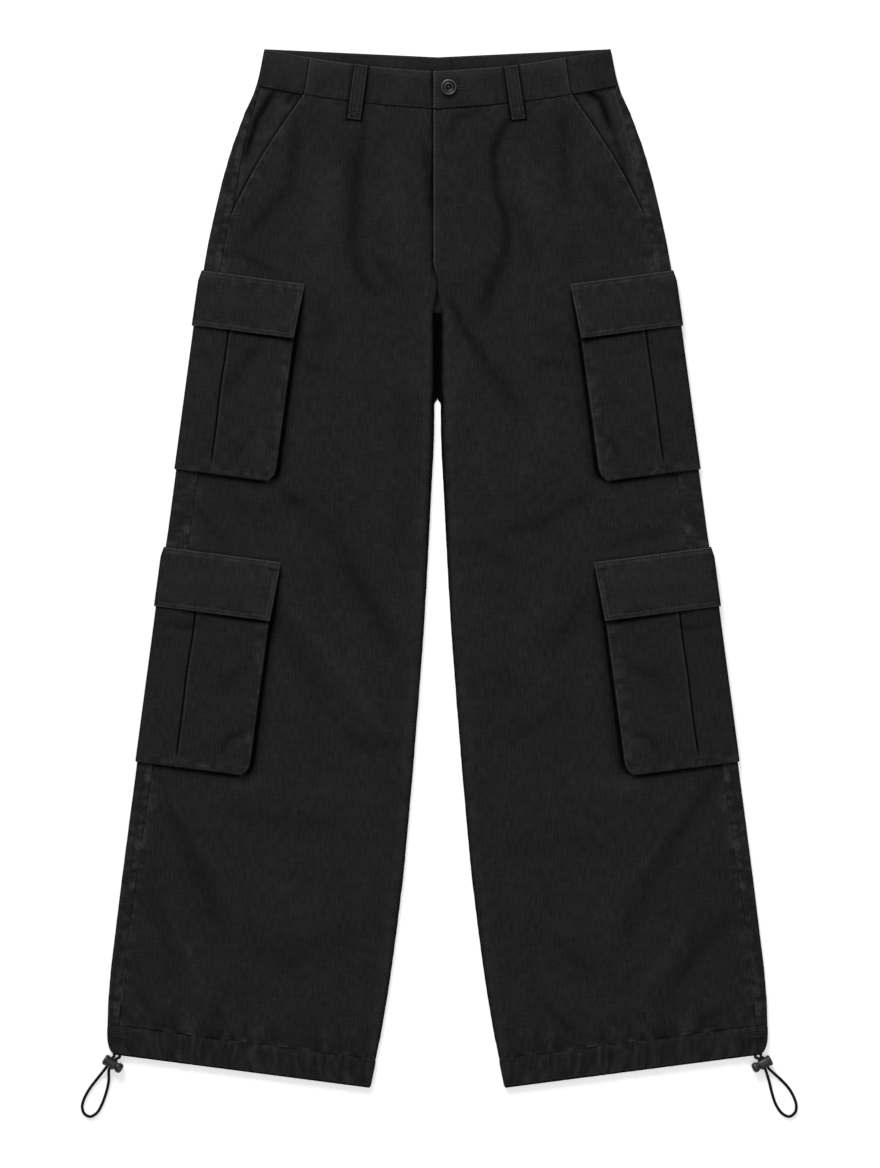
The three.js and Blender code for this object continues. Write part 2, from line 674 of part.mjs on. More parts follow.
for (const pocket of sidePockets) {
  const top = pocket.flapTop + pocketInset;
  const rows = rowsBetween(top, pocket.bottom);
  const cutAt = (down) => pocketCut.inward * ramp(down, pocket.bottom - pocketCut.down, pocket.bottom);
  for (const side of [-1, 1]) {
    const standOf = (column, down) => pocketStand(pocket, standInward(column), down)
      - pleatDip(pocket, standInward(column), down);
    const gridOf = (inset, drop) => {
      const lines = rows.map((down) => {
        const row = THREE.MathUtils.clamp(down, top + inset, pocket.bottom - inset);
        const front = pocket.edge - cutAt(down) - inset;
        const columns = wrapColumns(front, pocketBack - inset, pocket.pleat);
        const points = columns.map((column) => skin(side, column, row, standOf(column, down) - drop));
        const ends = [columns[0], columns[columns.length - 1]];
        const foot = ends.map((column) => skin(side, column, row, seamGap));
        return { row, columns, points: [foot[0], ...points, foot[1]] };
      });
      const footOf = (line) => {
        const inner = line.columns.map((column) => skin(side, column, line.row, seamGap));
        return [inner[0], ...inner, inner[inner.length - 1]];
      };
      return [footOf(lines[0]), ...lines.map((line) => line.points), footOf(lines[lines.length - 1])];
    };
    const geometry = wall(gridOf(0, 0), gridOf(clothWall, clothWall));
    addPiece(`cargo_pocket_${pocket.name}_${sideName(side)}`, geometry, colours.cloth);
  }
}

for (const pocket of sidePockets) {
  const rows = [0, pocketInset, pocketInset + pocketRise].map((step) => pocket.flapTop + step);
  rows.push(pocket.flapBottom);
  for (const side of [-1, 1]) {
    const standOf = (column, down) => {
      const over = pocketStand(pocket, standInward(column), down) + layer;
      return mix(clothWall + seamGap, over, ramp(down, pocket.flapTop, pocket.flapTop + pocketInset));
    };
    const columnsOf = (down) => {
      const lean = 3 * ramp(down, pocket.flapTop, pocket.flapBottom);
      return wrapColumns(pocket.flapEdge - lean + 1.5, pocketBack, 0);
    };
    const place = (column, down, stand) => skin(side, column, down, stand);
    const geometry = clothWallOf(rows, columnsOf, place, clothWall, standOf);
    addPiece(`pocket_flap_${pocket.name}_${sideName(side)}`, geometry, colours.cloth);
  }
}

// Gathered hems: a closed ring of doubled cloth with a cord inside

const hemRows = [
  { down: hemTop, stand: 0, gather: 0.4 }, { down: hemTop + 6, stand: 0.7, gather: 0.9 },
  { down: hemBottom - 6, stand: 0.8, gather: 1 }, { down: hemBottom, stand: 0, gather: 0.5 },
];

// Uneven crests and troughs, stronger towards the outer corner where the cord is drawn
function gatherPoint(index, side) {
  const last = 2 * gatherCount;
  const t = (index + 0.3 * Math.sin(2.3 * index + side)) / last;
  const uneven = 0.7 + 0.3 * Math.sin(1.7 * index + 3 * side);
  return { t, wave: (index % 2 ? 1 : -1) * uneven * mix(1, 0.65, t) };
}

for (const side of [-1, 1]) {
  const grid = (drop) => hemRows.map(({ down, stand, gather }) => {
    const reach = innerReach('front', down);
    const points = [];
    const centre = reach - foldRadius;
    for (const angle of [...foldAngles].reverse()) {
      points.push(skin(side, { at: 'side', angle, face: 'front' }, down, (angle > 0 ? stand : 0) - drop));
    }
    for (let i = 1; i < 2 * gatherCount; i += 1) {
      const { t, wave } = gatherPoint(i, side);
      const inward = mix(foldRadius, centre, t);
      points.push(skin(side, { at: 'front', inward }, down, stand + gatherHeight * gather * wave - drop));
    }
    for (const angle of foldAngles) {
      const column = { at: 'inner', centre, angle, face: 'front' };
      points.push(skin(side, column, down, (angle > 0 ? stand : 0) - drop));
    }
    return points;
  });
  addPiece(`hem_${sideName(side)}`, wall(grid(0), grid(hemWall), true), colours.cloth);
}

// Drawcords: out of the hem, through the lock, round in a loose loop and back

const lockHeight = lock.barrelDiameter / 2;
const cordRest = cordDiameter / 2 + 0.12;
const exitHeight = foldRadius + 1.3;
const cordLeave = new THREE.Vector3(0, -1.2, 0.4);
const strandPlaces = [-4.8, 0, 6];
const loopEndLift = 1.2;
const cordSteps = 26;
const drawcords = [
  {
    side: -1, lockX: -324, lockY: -495.2, axisAngle: -32, exits: [-323, -317.5],
    loop: [
      [-335.6, -504.6], [-341.9, -512.4], [-348.4, -521.2], [-353.6, -531.2], [-355.2, -538.6], [-353, -545],
      [-347.2, -548], [-340.6, -544.4], [-335.4, -535.6], [-331.4, -524.6], [-328.6, -512.6],
    ],
  },
  {
    side: 1, lockX: 324, lockY: -495.2, axisAngle: 207, exits: [323, 317.5],
    loop: [
      [336.6, -505], [344.4, -512.2], [351.4, -520], [356.2, -528.5], [358.6, -536.5], [357.6, -543.6],
      [351.9, -547.9], [345, -545.2], [338.6, -536.6], [334.6, -525.4], [331.4, -512.6],
    ],
  },
];

// Lock sizes along its axis, measured from the middle of the lock
const barrelBack = -lock.length / 2;
const boreBack = barrelBack + lock.endWall;
const plungerBack = boreBack + lock.travel + seamGap;
const strandHalf = lock.strandPitch / 2 + cordDiameter / 2;
const strandMiddle = plungerBack + lock.endWall + lock.strandSpare + strandHalf;
const barrelFront = strandMiddle + strandHalf + lock.slotSpare + lock.frontWall;
const headBack = barrelFront + lock.travel + seamGap;
const headFront = lock.length / 2;

function turned(points) {
  const shape = points.map(([along, radius]) => new THREE.Vector2(radius, along));
  return solidOf(closedGeometry(new THREE.LatheGeometry(shape, lock.facets)));
}

function solidOf(geometry) {
  return new manifold.Manifold(new manifold.Mesh({
    numProp: 3,
    vertProperties: new Float32Array(geometry.attributes.position.array),
    triVerts: new Uint32Array(geometry.index.array),
  }));
}

function geometryOf(solid) {
  const mesh = solid.getMesh();
  const geometry = new THREE.BufferGeometry();
  geometry.setAttribute('position', new THREE.BufferAttribute(new Float32Array(mesh.vertProperties), 3));
  geometry.setIndex(new THREE.BufferAttribute(new Uint32Array(mesh.triVerts), 1));
  return geometry;
}

function slotCutter(from, to) {
  const box = new THREE.BoxGeometry(lock.barrelDiameter * 2, to - from, lock.slotHeight);
  box.translate(0, (from + to) / 2, 0);
  return solidOf(closedGeometry(box));
}

function barrelGeometry() {
  const outer = lock.barrelDiameter / 2;
  const bore = lock.boreDiameter / 2;
  const body = turned([
    [barrelBack, 0], [barrelBack, outer - 1.6], [barrelBack + 0.8, outer - 0.4], [barrelBack + 2, outer],
    [barrelFront - 0.6, outer], [barrelFront, outer - 0.5], [barrelFront, bore], [boreBack, bore],
    [boreBack, 0],
  ]);
  const slotHalf = strandHalf + lock.slotSpare;
  return geometryOf(body.subtract(slotCutter(strandMiddle - slotHalf, strandMiddle + slotHalf)));
}

function plungerGeometry() {
  const stem = lock.stemDiameter / 2;
  const head = lock.headDiameter / 2;
  const body = turned([
    [plungerBack, 0], [plungerBack, stem], [headBack, stem], [headBack, head - 0.4], [headBack + 0.5, head],
    [headFront - 2.2, head], [headFront - 0.7, head - 1.2], [headFront, head - 3], [headFront, 0],
  ]);
  const slotFront = strandMiddle + strandHalf + lock.travel + seamGap / 2;
  return geometryOf(body.subtract(slotCutter(plungerBack + lock.endWall, slotFront)));
}

for (const cord of drawcords) {
  const angle = THREE.MathUtils.degToRad(cord.axisAngle);
  const axis = new THREE.Vector3(Math.cos(angle), Math.sin(angle), 0);
  const along = new THREE.Vector3(cord.side * Math.sin(angle) * -1, cord.side * Math.cos(angle), 0);
  if (along.y > 0) along.negate();
  const middle = new THREE.Vector3(cord.lockX, cord.lockY, lockHeight);
  const strand = (shift, forward) => (
    middle.clone().addScaledVector(axis, shift).addScaledVector(along, forward));
  const shifts = [strandMiddle - lock.strandPitch / 2, strandMiddle + lock.strandPitch / 2];
  const hemEdge = hemBottom + 2 * seamGap;
  const start = cord.exits.map((x) => new THREE.Vector3(x, waistTopY - rowHeight('front', hemEdge,
    sideHalf(hemBottom) - Math.abs(x)), exitHeight));
  const leave = start.map((point) => point.clone().add(cordLeave));
  const through = shifts.map((shift) => strandPlaces.map((forward) => strand(shift, forward)));
  const loop = cord.loop.map(([x, y], i) => {
    const atEnd = i === 0 || i === cord.loop.length - 1;
    return new THREE.Vector3(x, y, atEnd ? cordRest + loopEndLift : cordRest);
  });
  const back = [...through[1]].reverse();
  const route = [start[0], leave[0], ...through[0], ...loop, ...back, leave[1], start[1]];
  const path = new THREE.CatmullRomCurve3(route, false, 'centripetal');
  const section = new THREE.Shape();
  for (let i = 0; i < cordSides; i += 1) {
    const turn = (i / cordSides) * 2 * Math.PI;
    const x = Math.cos(turn) * cordDiameter / 2;
    const y = Math.sin(turn) * cordDiameter / 2;
    if (i === 0) section.moveTo(x, y);
    else section.lineTo(x, y);
  }
  section.closePath();
  const sweep = { steps: cordSteps, bevelEnabled: false, extrudePath: path };
  const tube = new THREE.ExtrudeGeometry(section, sweep);
  addPiece(`drawcord_${sideName(cord.side)}`, closedGeometry(tube), colours.cord, 0.8);

  const pose = new THREE.Matrix4().makeBasis(along.clone().negate(), axis, new THREE.Vector3(0, 0, 1)
    .multiplyScalar(along.clone().negate().cross(axis).z > 0 ? 1 : -1));
  pose.setPosition(middle);
  for (const [part, make] of [['barrel', barrelGeometry], ['plunger', plungerGeometry]]) {
    const geometry = make();
    geometry.applyMatrix4(pose);
    addPiece(`lock_${part}_${sideName(cord.side)}`, geometry, colours.lock, 0.45);
  }
}

export default garment;
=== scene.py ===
# Black cargo trousers laid flat on their back, seen straight down.
# Sizes are in millimetres, and mm turns them into metres where a mesh is made. X is the viewer's right,
# Y points to the waist and Z is up. "down" is the distance below the waistband's top corner along
# the side fold, "inward" the distance from the side fold towards the centre line, and "lead" the
# distance round the cloth from the middle of the side fold: above 0 on the front, below 0 on the back.
import math

import bmesh
import bpy
import numpy as np
from mathutils import Matrix, Vector


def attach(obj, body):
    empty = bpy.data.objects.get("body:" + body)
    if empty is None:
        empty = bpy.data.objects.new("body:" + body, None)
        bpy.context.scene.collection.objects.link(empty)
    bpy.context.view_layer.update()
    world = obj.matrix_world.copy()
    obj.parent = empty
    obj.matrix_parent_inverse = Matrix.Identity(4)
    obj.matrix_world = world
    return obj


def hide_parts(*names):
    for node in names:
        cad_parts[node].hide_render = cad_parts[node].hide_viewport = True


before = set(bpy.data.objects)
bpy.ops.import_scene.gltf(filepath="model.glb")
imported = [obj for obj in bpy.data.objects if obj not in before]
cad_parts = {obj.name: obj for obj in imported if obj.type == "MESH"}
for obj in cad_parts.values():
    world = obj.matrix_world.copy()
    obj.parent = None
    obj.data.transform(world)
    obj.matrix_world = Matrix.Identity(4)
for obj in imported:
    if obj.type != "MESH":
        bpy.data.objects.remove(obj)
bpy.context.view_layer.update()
mm = 0.001
garmentBody = "garment"
sides = {"left": -1, "right": 1}


# Camera, light and table

view = {"height": 4200, "centreX": 2.5, "centreY": -15.6, "photoHeight": 1168, "sensor": 36, "farthest": 50000}
lights = {
    "window": {"place": (-1350, 3900, 2625), "size": 2250, "power": 216, "aim": (0, -50, 0)},
    "fill": {"place": (500, -1000, 3200), "size": 2400, "power": 30, "aim": (0, -200, 0)},
    "sky": 0.3,
}
# The table is a white one lit from below, so that hardly a shadow shows on it
table = {"half": 12000, "colour": "#e6e6e5", "glow": 0.42, "roughness": 0.9}


def toLinear(hexColour):
    channels = [int(hexColour[i:i + 2], 16) / 255 for i in (1, 3, 5)]
    return tuple(c / 12.92 if c <= 0.04045 else ((c + 0.055) / 1.055) ** 2.4 for c in channels) + (1.0,)


def addObject(name, data):
    made = bpy.data.objects.new(name, data)
    bpy.context.collection.objects.link(made)
    return made


def feed(tree, node, inputs):
    for key, value in inputs.items():
        if isinstance(value, bpy.types.NodeSocket):
            tree.links.new(value, node.inputs[key])
        else:
            node.inputs[key].default_value = value


def addNode(tree, kind, inputs=None, **settings):
    node = tree.nodes.new(kind)
    for key, value in settings.items():
        setattr(node, key, value)
    feed(tree, node, inputs or {})
    return node


def startMaterial(name):
    material = bpy.data.materials.new(name)
    material.use_nodes = True
    tree = material.node_tree
    return material, tree, tree.nodes["Principled BSDF"]


def makeCamera():
    data = bpy.data.cameras.new("photoCamera")
    camera = addObject("photoCamera", data)
    camera.location = (view["centreX"] * mm, view["centreY"] * mm, view["height"] * mm)
    data.sensor_width = view["sensor"]
    data.lens = view["sensor"] * view["height"] / view["photoHeight"]
    data.clip_end = view["farthest"] * mm
    bpy.context.scene.camera = camera


def makeLight(name, facts):
    data = bpy.data.lights.new(name, "AREA")
    data.size = facts["size"] * mm
    data.energy = facts["power"]
    light = addObject(name, data)
    place = Vector(facts["place"]) * mm
    light.location = place
    light.rotation_euler = (Vector(facts["aim"]) * mm - place).to_track_quat("-Z", "Y").to_euler()


def makeTable():
    half = table["half"] * mm
    mesh = bpy.data.meshes.new("tableTop")
    corners = [(-half, -half, 0), (half, -half, 0), (half, half, 0), (-half, half, 0)]
    mesh.from_pydata(corners, [], [(0, 1, 2, 3)])
    material, tree, shader = startMaterial("paleTable")
    feed(tree, shader, {
        "Base Color": toLinear(table["colour"]), "Roughness": table["roughness"],
        "Emission Color": (1, 1, 1, 1), "Emission Strength": table["glow"]})
    mesh.materials.append(material)
    addObject("tableTop", mesh)


def makeSky():
    world = bpy.data.worlds.new("softStudio")
    world.use_nodes = True
    background = world.node_tree.nodes["Background"]
    background.inputs["Color"].default_value = (1, 1, 1, 1)
    background.inputs["Strength"].default_value = lights["sky"]
    bpy.context.scene.world = world


makeCamera()
makeLight("window", lights["window"])
makeLight("fill", lights["fill"])
makeTable()
makeSky()
bpy.context.scene.view_settings.view_transform = "Standard"
print("camera, light and table made")


# Materials

# What every look ends with: its colour, its roughness and the fine relief of its surface
def endLook(tree, shader, look, colour, height):
    bump = addNode(tree, "ShaderNodeBump", {
        "Height": height, "Strength": look["bump"], "Distance": look["bumpDepth"] * mm})
    feed(tree, shader, {
        "Base Color": colour, "Normal": bump.outputs["Normal"], "Roughness": look["roughness"],
        "Specular IOR Level": look["specular"]})


# Black cotton twill, piece dyed and enzyme washed: matt, with uneven yarns that run down the leg,
# paler along its edges, seams and fold ridges, partly rubbed wear and partly painted highlight, and near
# black as painted shade in creases, grooves and the crotch, beside pockets, flaps and loops, and on turned
# edges.
twill = {
    # The pale colour serves rubbed wear and painted highlight; the near-black one is painted shade.
    "dark": "#191919", "mid": "#272727", "rubbedAndLit": "#454544", "paintedShade": "#020202", "yarn": 1.1, "slub": 1.7,
    "slubLength": 13, "crossSlub": 2.04, "yarnAngle": 62, "darkFrom": 0.36, "midFrom": 0.66, "crossShare": 0.3,
    "cloudShare": 0.16, "weaveShare": 0.3, "cloudScale": 14.0, "rubScale": 420.0, "roughness": 0.9,
    "specular": 0.02, "sheen": 0.01, "sheenRoughness": 0.5, "bump": 0.4, "bumpDepth": 0.6,
}


def makeTwill():
    material, tree, shader = startMaterial("blackCottonTwill")
    uv = addNode(tree, "ShaderNodeUVMap", uv_map="cut").outputs["UV"]
    long, short, cross = (1 / (twill[key] * mm) for key in ("slubLength", "slub", "crossSlub"))
    downPlace = addNode(tree, "ShaderNodeMapping", {"Vector": uv, "Scale": (short, long, 1)})
    slubs = addNode(tree, "ShaderNodeTexNoise", {
        "Vector": downPlace.outputs["Vector"], "Scale": 1.0, "Detail": 3.0, "Roughness": 0.6})
    crossPlace = addNode(tree, "ShaderNodeMapping", {"Vector": uv, "Scale": (long, cross, 1)})
    crossSlubs = addNode(tree, "ShaderNodeTexNoise", {
        "Vector": crossPlace.outputs["Vector"], "Scale": 1.0, "Detail": 2.0, "Roughness": 0.5})
    # The real twill line is 0.6 mm apart; it is drawn at 1.1 mm so that it shows.
    weavePlace = addNode(tree, "ShaderNodeMapping", {
        "Vector": uv, "Rotation": (0, 0, math.radians(twill["yarnAngle"])),
        "Scale": (1 / (twill["yarn"] * mm) / 2 / math.pi,) * 3})
    weave = addNode(tree, "ShaderNodeTexWave", {
        "Vector": weavePlace.outputs["Vector"], "Scale": 1.0, "Distortion": 1.6, "Detail": 2.0,
        "Detail Scale": 2.5}, wave_type="BANDS", bands_direction="X")
    cloud = addNode(tree, "ShaderNodeTexNoise", {
        "Vector": uv, "Scale": twill["cloudScale"], "Detail": 4.0, "Roughness": 0.6})
    yarns = addNode(tree, "ShaderNodeMix", {
        0: twill["crossShare"], 2: slubs.outputs["Fac"], 3: crossSlubs.outputs["Fac"]}, data_type="FLOAT")
    tone = addNode(tree, "ShaderNodeMix", {
        0: twill["cloudShare"], 2: yarns.outputs[0], 3: cloud.outputs["Fac"]}, data_type="FLOAT")
    dyed = addNode(tree, "ShaderNodeValToRGB", {"Fac": tone.outputs[0]})
    for stop, name in zip(dyed.color_ramp.elements, ("dark", "mid")):
        stop.position, stop.color = twill[name + "From"], toLinear(twill[name])
    # The tone attribute: above 0 paler, rubbed wear and painted highlight; below 0 painted shade.
    wearAndShade = addNode(tree, "ShaderNodeAttribute", attribute_name="wearAndShade").outputs["Fac"]
    rubNoise = addNode(tree, "ShaderNodeTexNoise", {
        "Vector": uv, "Scale": twill["rubScale"], "Detail": 3.0, "Roughness": 0.7})
    rubStep = addNode(tree, "ShaderNodeMapRange", {
        "Value": rubNoise.outputs["Fac"], "From Min": 0.3, "From Max": 0.62})
    rubbedAndLit = addNode(tree, "ShaderNodeMath", {0: wearAndShade, 1: rubStep.outputs["Result"]},
                     operation="MULTIPLY", use_clamp=True)
    # The share of painted shade, from the attribute's values below 0.
    hidden = addNode(tree, "ShaderNodeMath", {0: wearAndShade, 1: -1.0}, operation="MULTIPLY", use_clamp=True)
    paler = addNode(tree, "ShaderNodeMix", {
        0: rubbedAndLit.outputs[0], 6: dyed.outputs["Color"], 7: toLinear(twill["rubbedAndLit"])}, data_type="RGBA")
    colour = addNode(tree, "ShaderNodeMix", {
        0: hidden.outputs[0], 6: paler.outputs[2], 7: toLinear(twill["paintedShade"])}, data_type="RGBA")
    relief = addNode(tree, "ShaderNodeMix", {
        0: twill["weaveShare"], 2: yarns.outputs[0], 3: weave.outputs["Fac"]}, data_type="FLOAT")
    endLook(tree, shader, twill, colour.outputs[2], relief.outputs[0])
    feed(tree, shader, {"Sheen Weight": twill["sheen"], "Sheen Roughness": twill["sheenRoughness"]})
    return material


# Spun polyester sewing thread: a little shinier than the cloth, and dyed to match it.
thread = {
    "dark": "#111112", "light": "#1c1c1d", "grain": 900.0, "detail": 2.0, "roughness": 0.8, "specular": 0.5,
    "bump": 0.4, "bumpDepth": 0.2,
}

# Moulded acetal: black, with a fine sparked mould texture and a soft gloss.
acetal = {
    "dark": "#0c0c0d", "light": "#1a1a1b", "grain": 2200.0, "detail": 2.0, "roughness": 0.45, "specular": 0.5,
    "bump": 0.12, "bumpDepth": 0.1,
}


def makeGrained(name, look):
    material, tree, shader = startMaterial(name)
    place = addNode(tree, "ShaderNodeTexCoord").outputs["Object"]
    noise = addNode(tree, "ShaderNodeTexNoise", {
        "Vector": place, "Scale": look["grain"], "Detail": look["detail"]}).outputs["Fac"]
    tone = addNode(tree, "ShaderNodeValToRGB", {"Fac": noise})
    for stop, key in zip(tone.color_ramp.elements, ("dark", "light")):
        stop.color = toLinear(look[key])
    endLook(tree, shader, look, tone.outputs["Color"], noise)
    return material


# Braided polyester cord: fine crossing strands with a soft shine.
cordCloth = {
    "dark": "#030303", "light": "#0c0c0d", "strand": 1.3, "strandAngle": 45, "roughness": 0.75,
    "specular": 0.15, "bump": 0.7, "bumpDepth": 0.4,
}


def makeCordCloth():
    material, tree, shader = startMaterial("blackBraidedCord")
    uv = addNode(tree, "ShaderNodeUVMap", uv_map="cut").outputs["UV"]
    turn = 1 / (cordCloth["strand"] * mm) / 2 / math.pi
    bands = []
    for angle in (cordCloth["strandAngle"], -cordCloth["strandAngle"]):
        lay = addNode(tree, "ShaderNodeMapping", {
            "Vector": uv, "Rotation": (0, 0, math.radians(angle)), "Scale": (turn, turn, 1)})
        bands.append(addNode(tree, "ShaderNodeTexWave", {"Vector": lay.outputs["Vector"], "Scale": 1.0},
                             wave_type="BANDS", bands_direction="X").outputs["Fac"])
    braid = addNode(tree, "ShaderNodeMath", {0: bands[0], 1: bands[1]}, operation="MAXIMUM")
    tone = addNode(tree, "ShaderNodeValToRGB", {"Fac": braid.outputs[0]})
    for stop, key in zip(tone.color_ramp.elements, ("dark", "light")):
        stop.color = toLinear(cordCloth[key])
    endLook(tree, shader, cordCloth, tone.outputs["Color"], braid.outputs[0])
    return material


# Gunmetal plated zinc, pressed: dark, satin, with brighter rubbed rims.
gunmetal = {
    "dark": "#0b0b0c", "light": "#5a5a5b", "grain": 700.0, "detail": 4.0, "rubShare": 0.75, "roughness": 0.45,
    "glossRange": 0.12, "specular": 0.5, "bump": 0.15, "bumpDepth": 0.2,
}


def makeGunmetal():
    material, tree, shader = startMaterial("gunmetalButton")
    place = addNode(tree, "ShaderNodeTexCoord").outputs["Object"]
    noise = addNode(tree, "ShaderNodeTexNoise", {
        "Vector": place, "Scale": gunmetal["grain"], "Detail": gunmetal["detail"]}).outputs["Fac"]
    wearAndShade = addNode(tree, "ShaderNodeAttribute", attribute_name="wearAndShade").outputs["Fac"]
    polish = addNode(tree, "ShaderNodeMix", {0: gunmetal["rubShare"], 2: noise, 3: wearAndShade}, data_type="FLOAT")
    tone = addNode(tree, "ShaderNodeValToRGB", {"Fac": polish.outputs[0]})
    for stop, key in zip(tone.color_ramp.elements, ("dark", "light")):
        stop.color = toLinear(gunmetal[key])
    endLook(tree, shader, gunmetal, tone.outputs["Color"], noise)
    gloss = addNode(tree, "ShaderNodeMapRange", {
        "Value": noise, "To Min": gunmetal["roughness"] - gunmetal["glossRange"],
        "To Max": gunmetal["roughness"] + gunmetal["glossRange"]})
    feed(tree, shader, {"Roughness": gloss.outputs["Result"], "Metallic": 1.0})
    return material


materials = {
    "cloth": makeTwill(), "thread": makeGrained("blackSewingThread", thread), "cord": makeCordCloth(),
    "metal": makeGunmetal(), "plastic": makeGrained("blackMouldedAcetal", acetal),
}
print("materials made")


# The cut of the trousers: how a place on the cloth becomes a point

cloth = {
    "wall": 1.0, "gap": 0.3, "flatHeight": 5.6, "waistTopY": 518.9, "rowSlope": 0.13, "layer": 1.9,
    "backRise": 0.047, "waistBow": 3.5, "loopLift": 1.5,
}
foldRadius = cloth["flatHeight"] / 2
quarter = math.pi * foldRadius / 2
band = {
    "depth": 37, "wall": 2.0, "proud": 0.5, "joinTop": 45, "joinBottom": 47, "underlap": 20, "overlap": 4.3,
    "lapLift": 2.3,
}
fly = {
    "overlap": 4, "underlap": 8, "lift": 1.8, "underEnd": 172, "underGone": 186, "overGone": 199, "flat": 212,
}
hem = {"top": 974, "bottom": 1004.5, "wall": 1.9}
crotch = {"parting": 236, "groove": 262, "backParting": 349, "height": 355.5}
slant = {"topDown": 37, "topInward": 47, "bottomDown": 164, "bottomInward": 16.2}
liftColumns = {"full": 36, "none": 56}
pocketCut = {"inward": 9.5, "down": 15}
pocketBack, pocketRamp, pocketInset, pocketRise = 34, 18, 10, 24

# down, half width at the side fold
sideFoldRows = [
    (0, 173), (36.5, 181), (70.5, 195), (110.5, 209), (150.5, 219.5), (210.5, 232), (430.5, 262.5),
    (490.5, 270.5), (730.5, 302.5), (810.5, 313), (870.5, 320.5), (930.5, 327.5), (970, 329.6),
    (990.5, 329.6), (1000, 327), (1004.5, 323.5),
]
# height below the waist corner, half the gap between the legs
innerLegRows = [
    (355.5, 3.5), (390.5, 4), (450.5, 7), (570.5, 13.5), (690.5, 22.5), (810.5, 33), (870.5, 40), (930.5, 48),
    (990.5, 58), (1038, 67.5),
]
# down, inward of the outseam
outseamRows = [(37, 3.5), (106, 11.5), (140, 15.5), (200, 16), (431, 22), (725, 16), (975, 11.5)]
sidePockets = {
    "upper": {
        "flapTop": 221.5, "flapBottom": 277, "flapEdge": 100, "edge": 98.5, "bottom": 420, "pleat": 33.5,
    },
    "lower": {
        "flapTop": 497.5, "flapBottom": 557, "flapEdge": 114, "edge": 111.5, "bottom": 712, "pleat": 38,
    },
}
# inward, how far the pocket's front stands off the leg
pocketStandRows = [(3, 1.9), (14, 3.1), (36, 4.3), (56, 4.9), (90, 5.0)]


def curveTable(rows):
    keys = np.array([row[0] for row in rows], float)
    values = np.array([row[1] for row in rows], float)
    last = len(rows) - 1
    slopes = np.array([
        (values[min(i + 1, last)] - values[max(i - 1, 0)]) / (keys[min(i + 1, last)] - keys[max(i - 1, 0)])
        for i in range(last + 1)])

    def read(value):
        value = np.asarray(value, float)
        low = np.clip(np.searchsorted(keys, value, side="right") - 1, 0, last - 1)
        span = keys[low + 1] - keys[low]
        t = np.clip((value - keys[low]) / span, 0, 1)
        a, b = t * t * (2 * t - 3) + 1, t * t * (3 - 2 * t)
        c, d = t * (t - 1) ** 2, t * t * (t - 1)
        return values[low] * a + values[low + 1] * b + span * (slopes[low] * c + slopes[low + 1] * d)

    return read


sideHalf = curveTable(sideFoldRows)
innerLegHalf = curveTable(innerLegRows)
outseam = curveTable(outseamRows)


def ramp(value, low, high):
    return np.clip((np.asarray(value, float) - low) / (high - low), 0, 1)


def smooth(value, low, high):
    t = ramp(value, low, high)
    return t * t * (3 - 2 * t)


def mix(a, b, t):
    return a + (b - a) * t


# 1 on a line and soft beside it
def nearLine(distance, reach):
    return np.exp(-((distance / reach) ** 2))


def innerHalf(face, height):
    start, end = (crotch["parting"], crotch["groove"]) if face == "front" else (
        crotch["backParting"], crotch["height"])
    above = mix(cloth["gap"] / 2, innerLegRows[0][1], smooth(height, start, end))
    return np.where(np.asarray(height) >= crotch["height"], innerLegHalf(height), above)


def edgeAngle(face, height):
    if face == "back":
        return mix(-80, -3.1, smooth(height, crotch["backParting"], crotch["height"]))
    dive = mix(80, -22, smooth(height, crotch["parting"], crotch["groove"]))
    return mix(dive, 3.1, smooth(height, crotch["backParting"] - 12, crotch["backParting"]))


def rowHeight(face, down, inward):
    down, inward = np.asarray(down, float), np.asarray(inward, float)
    half = sideHalf(down)
    toCentre = np.minimum(inward, 2 * half - inward)
    if face == "back":
        return down + mix(cloth["backRise"], cloth["rowSlope"], smooth(down, 40, 250)) * toCentre
    bow = cloth["waistBow"] * (1 - smooth(down, 60, 130))
    return down + cloth["rowSlope"] * toCentre + bow * np.sin(math.pi * np.clip(toCentre / half, 0, 1))


def innerReach(face, down):
    inward = sideHalf(down)
    for _ in range(6):
        inward = sideHalf(down) - innerHalf(face, rowHeight(face, down, inward))
    return inward


def sideLift(inward, down):
    across = 1 - ramp(inward, liftColumns["full"], liftColumns["none"])
    lift = 0
    for pocket in sidePockets.values():
        rise = ramp(down, pocket["flapTop"] - pocketRamp, pocket["flapTop"])
        for low in (pocket["bottom"], pocket["flapBottom"]):
            lift = lift + cloth["layer"] * rise * (1 - ramp(down, low, low + pocketRamp))
    return lift * across


def waistLift(down):
    return cloth["loopLift"] * (1 - ramp(down, 55, 95))


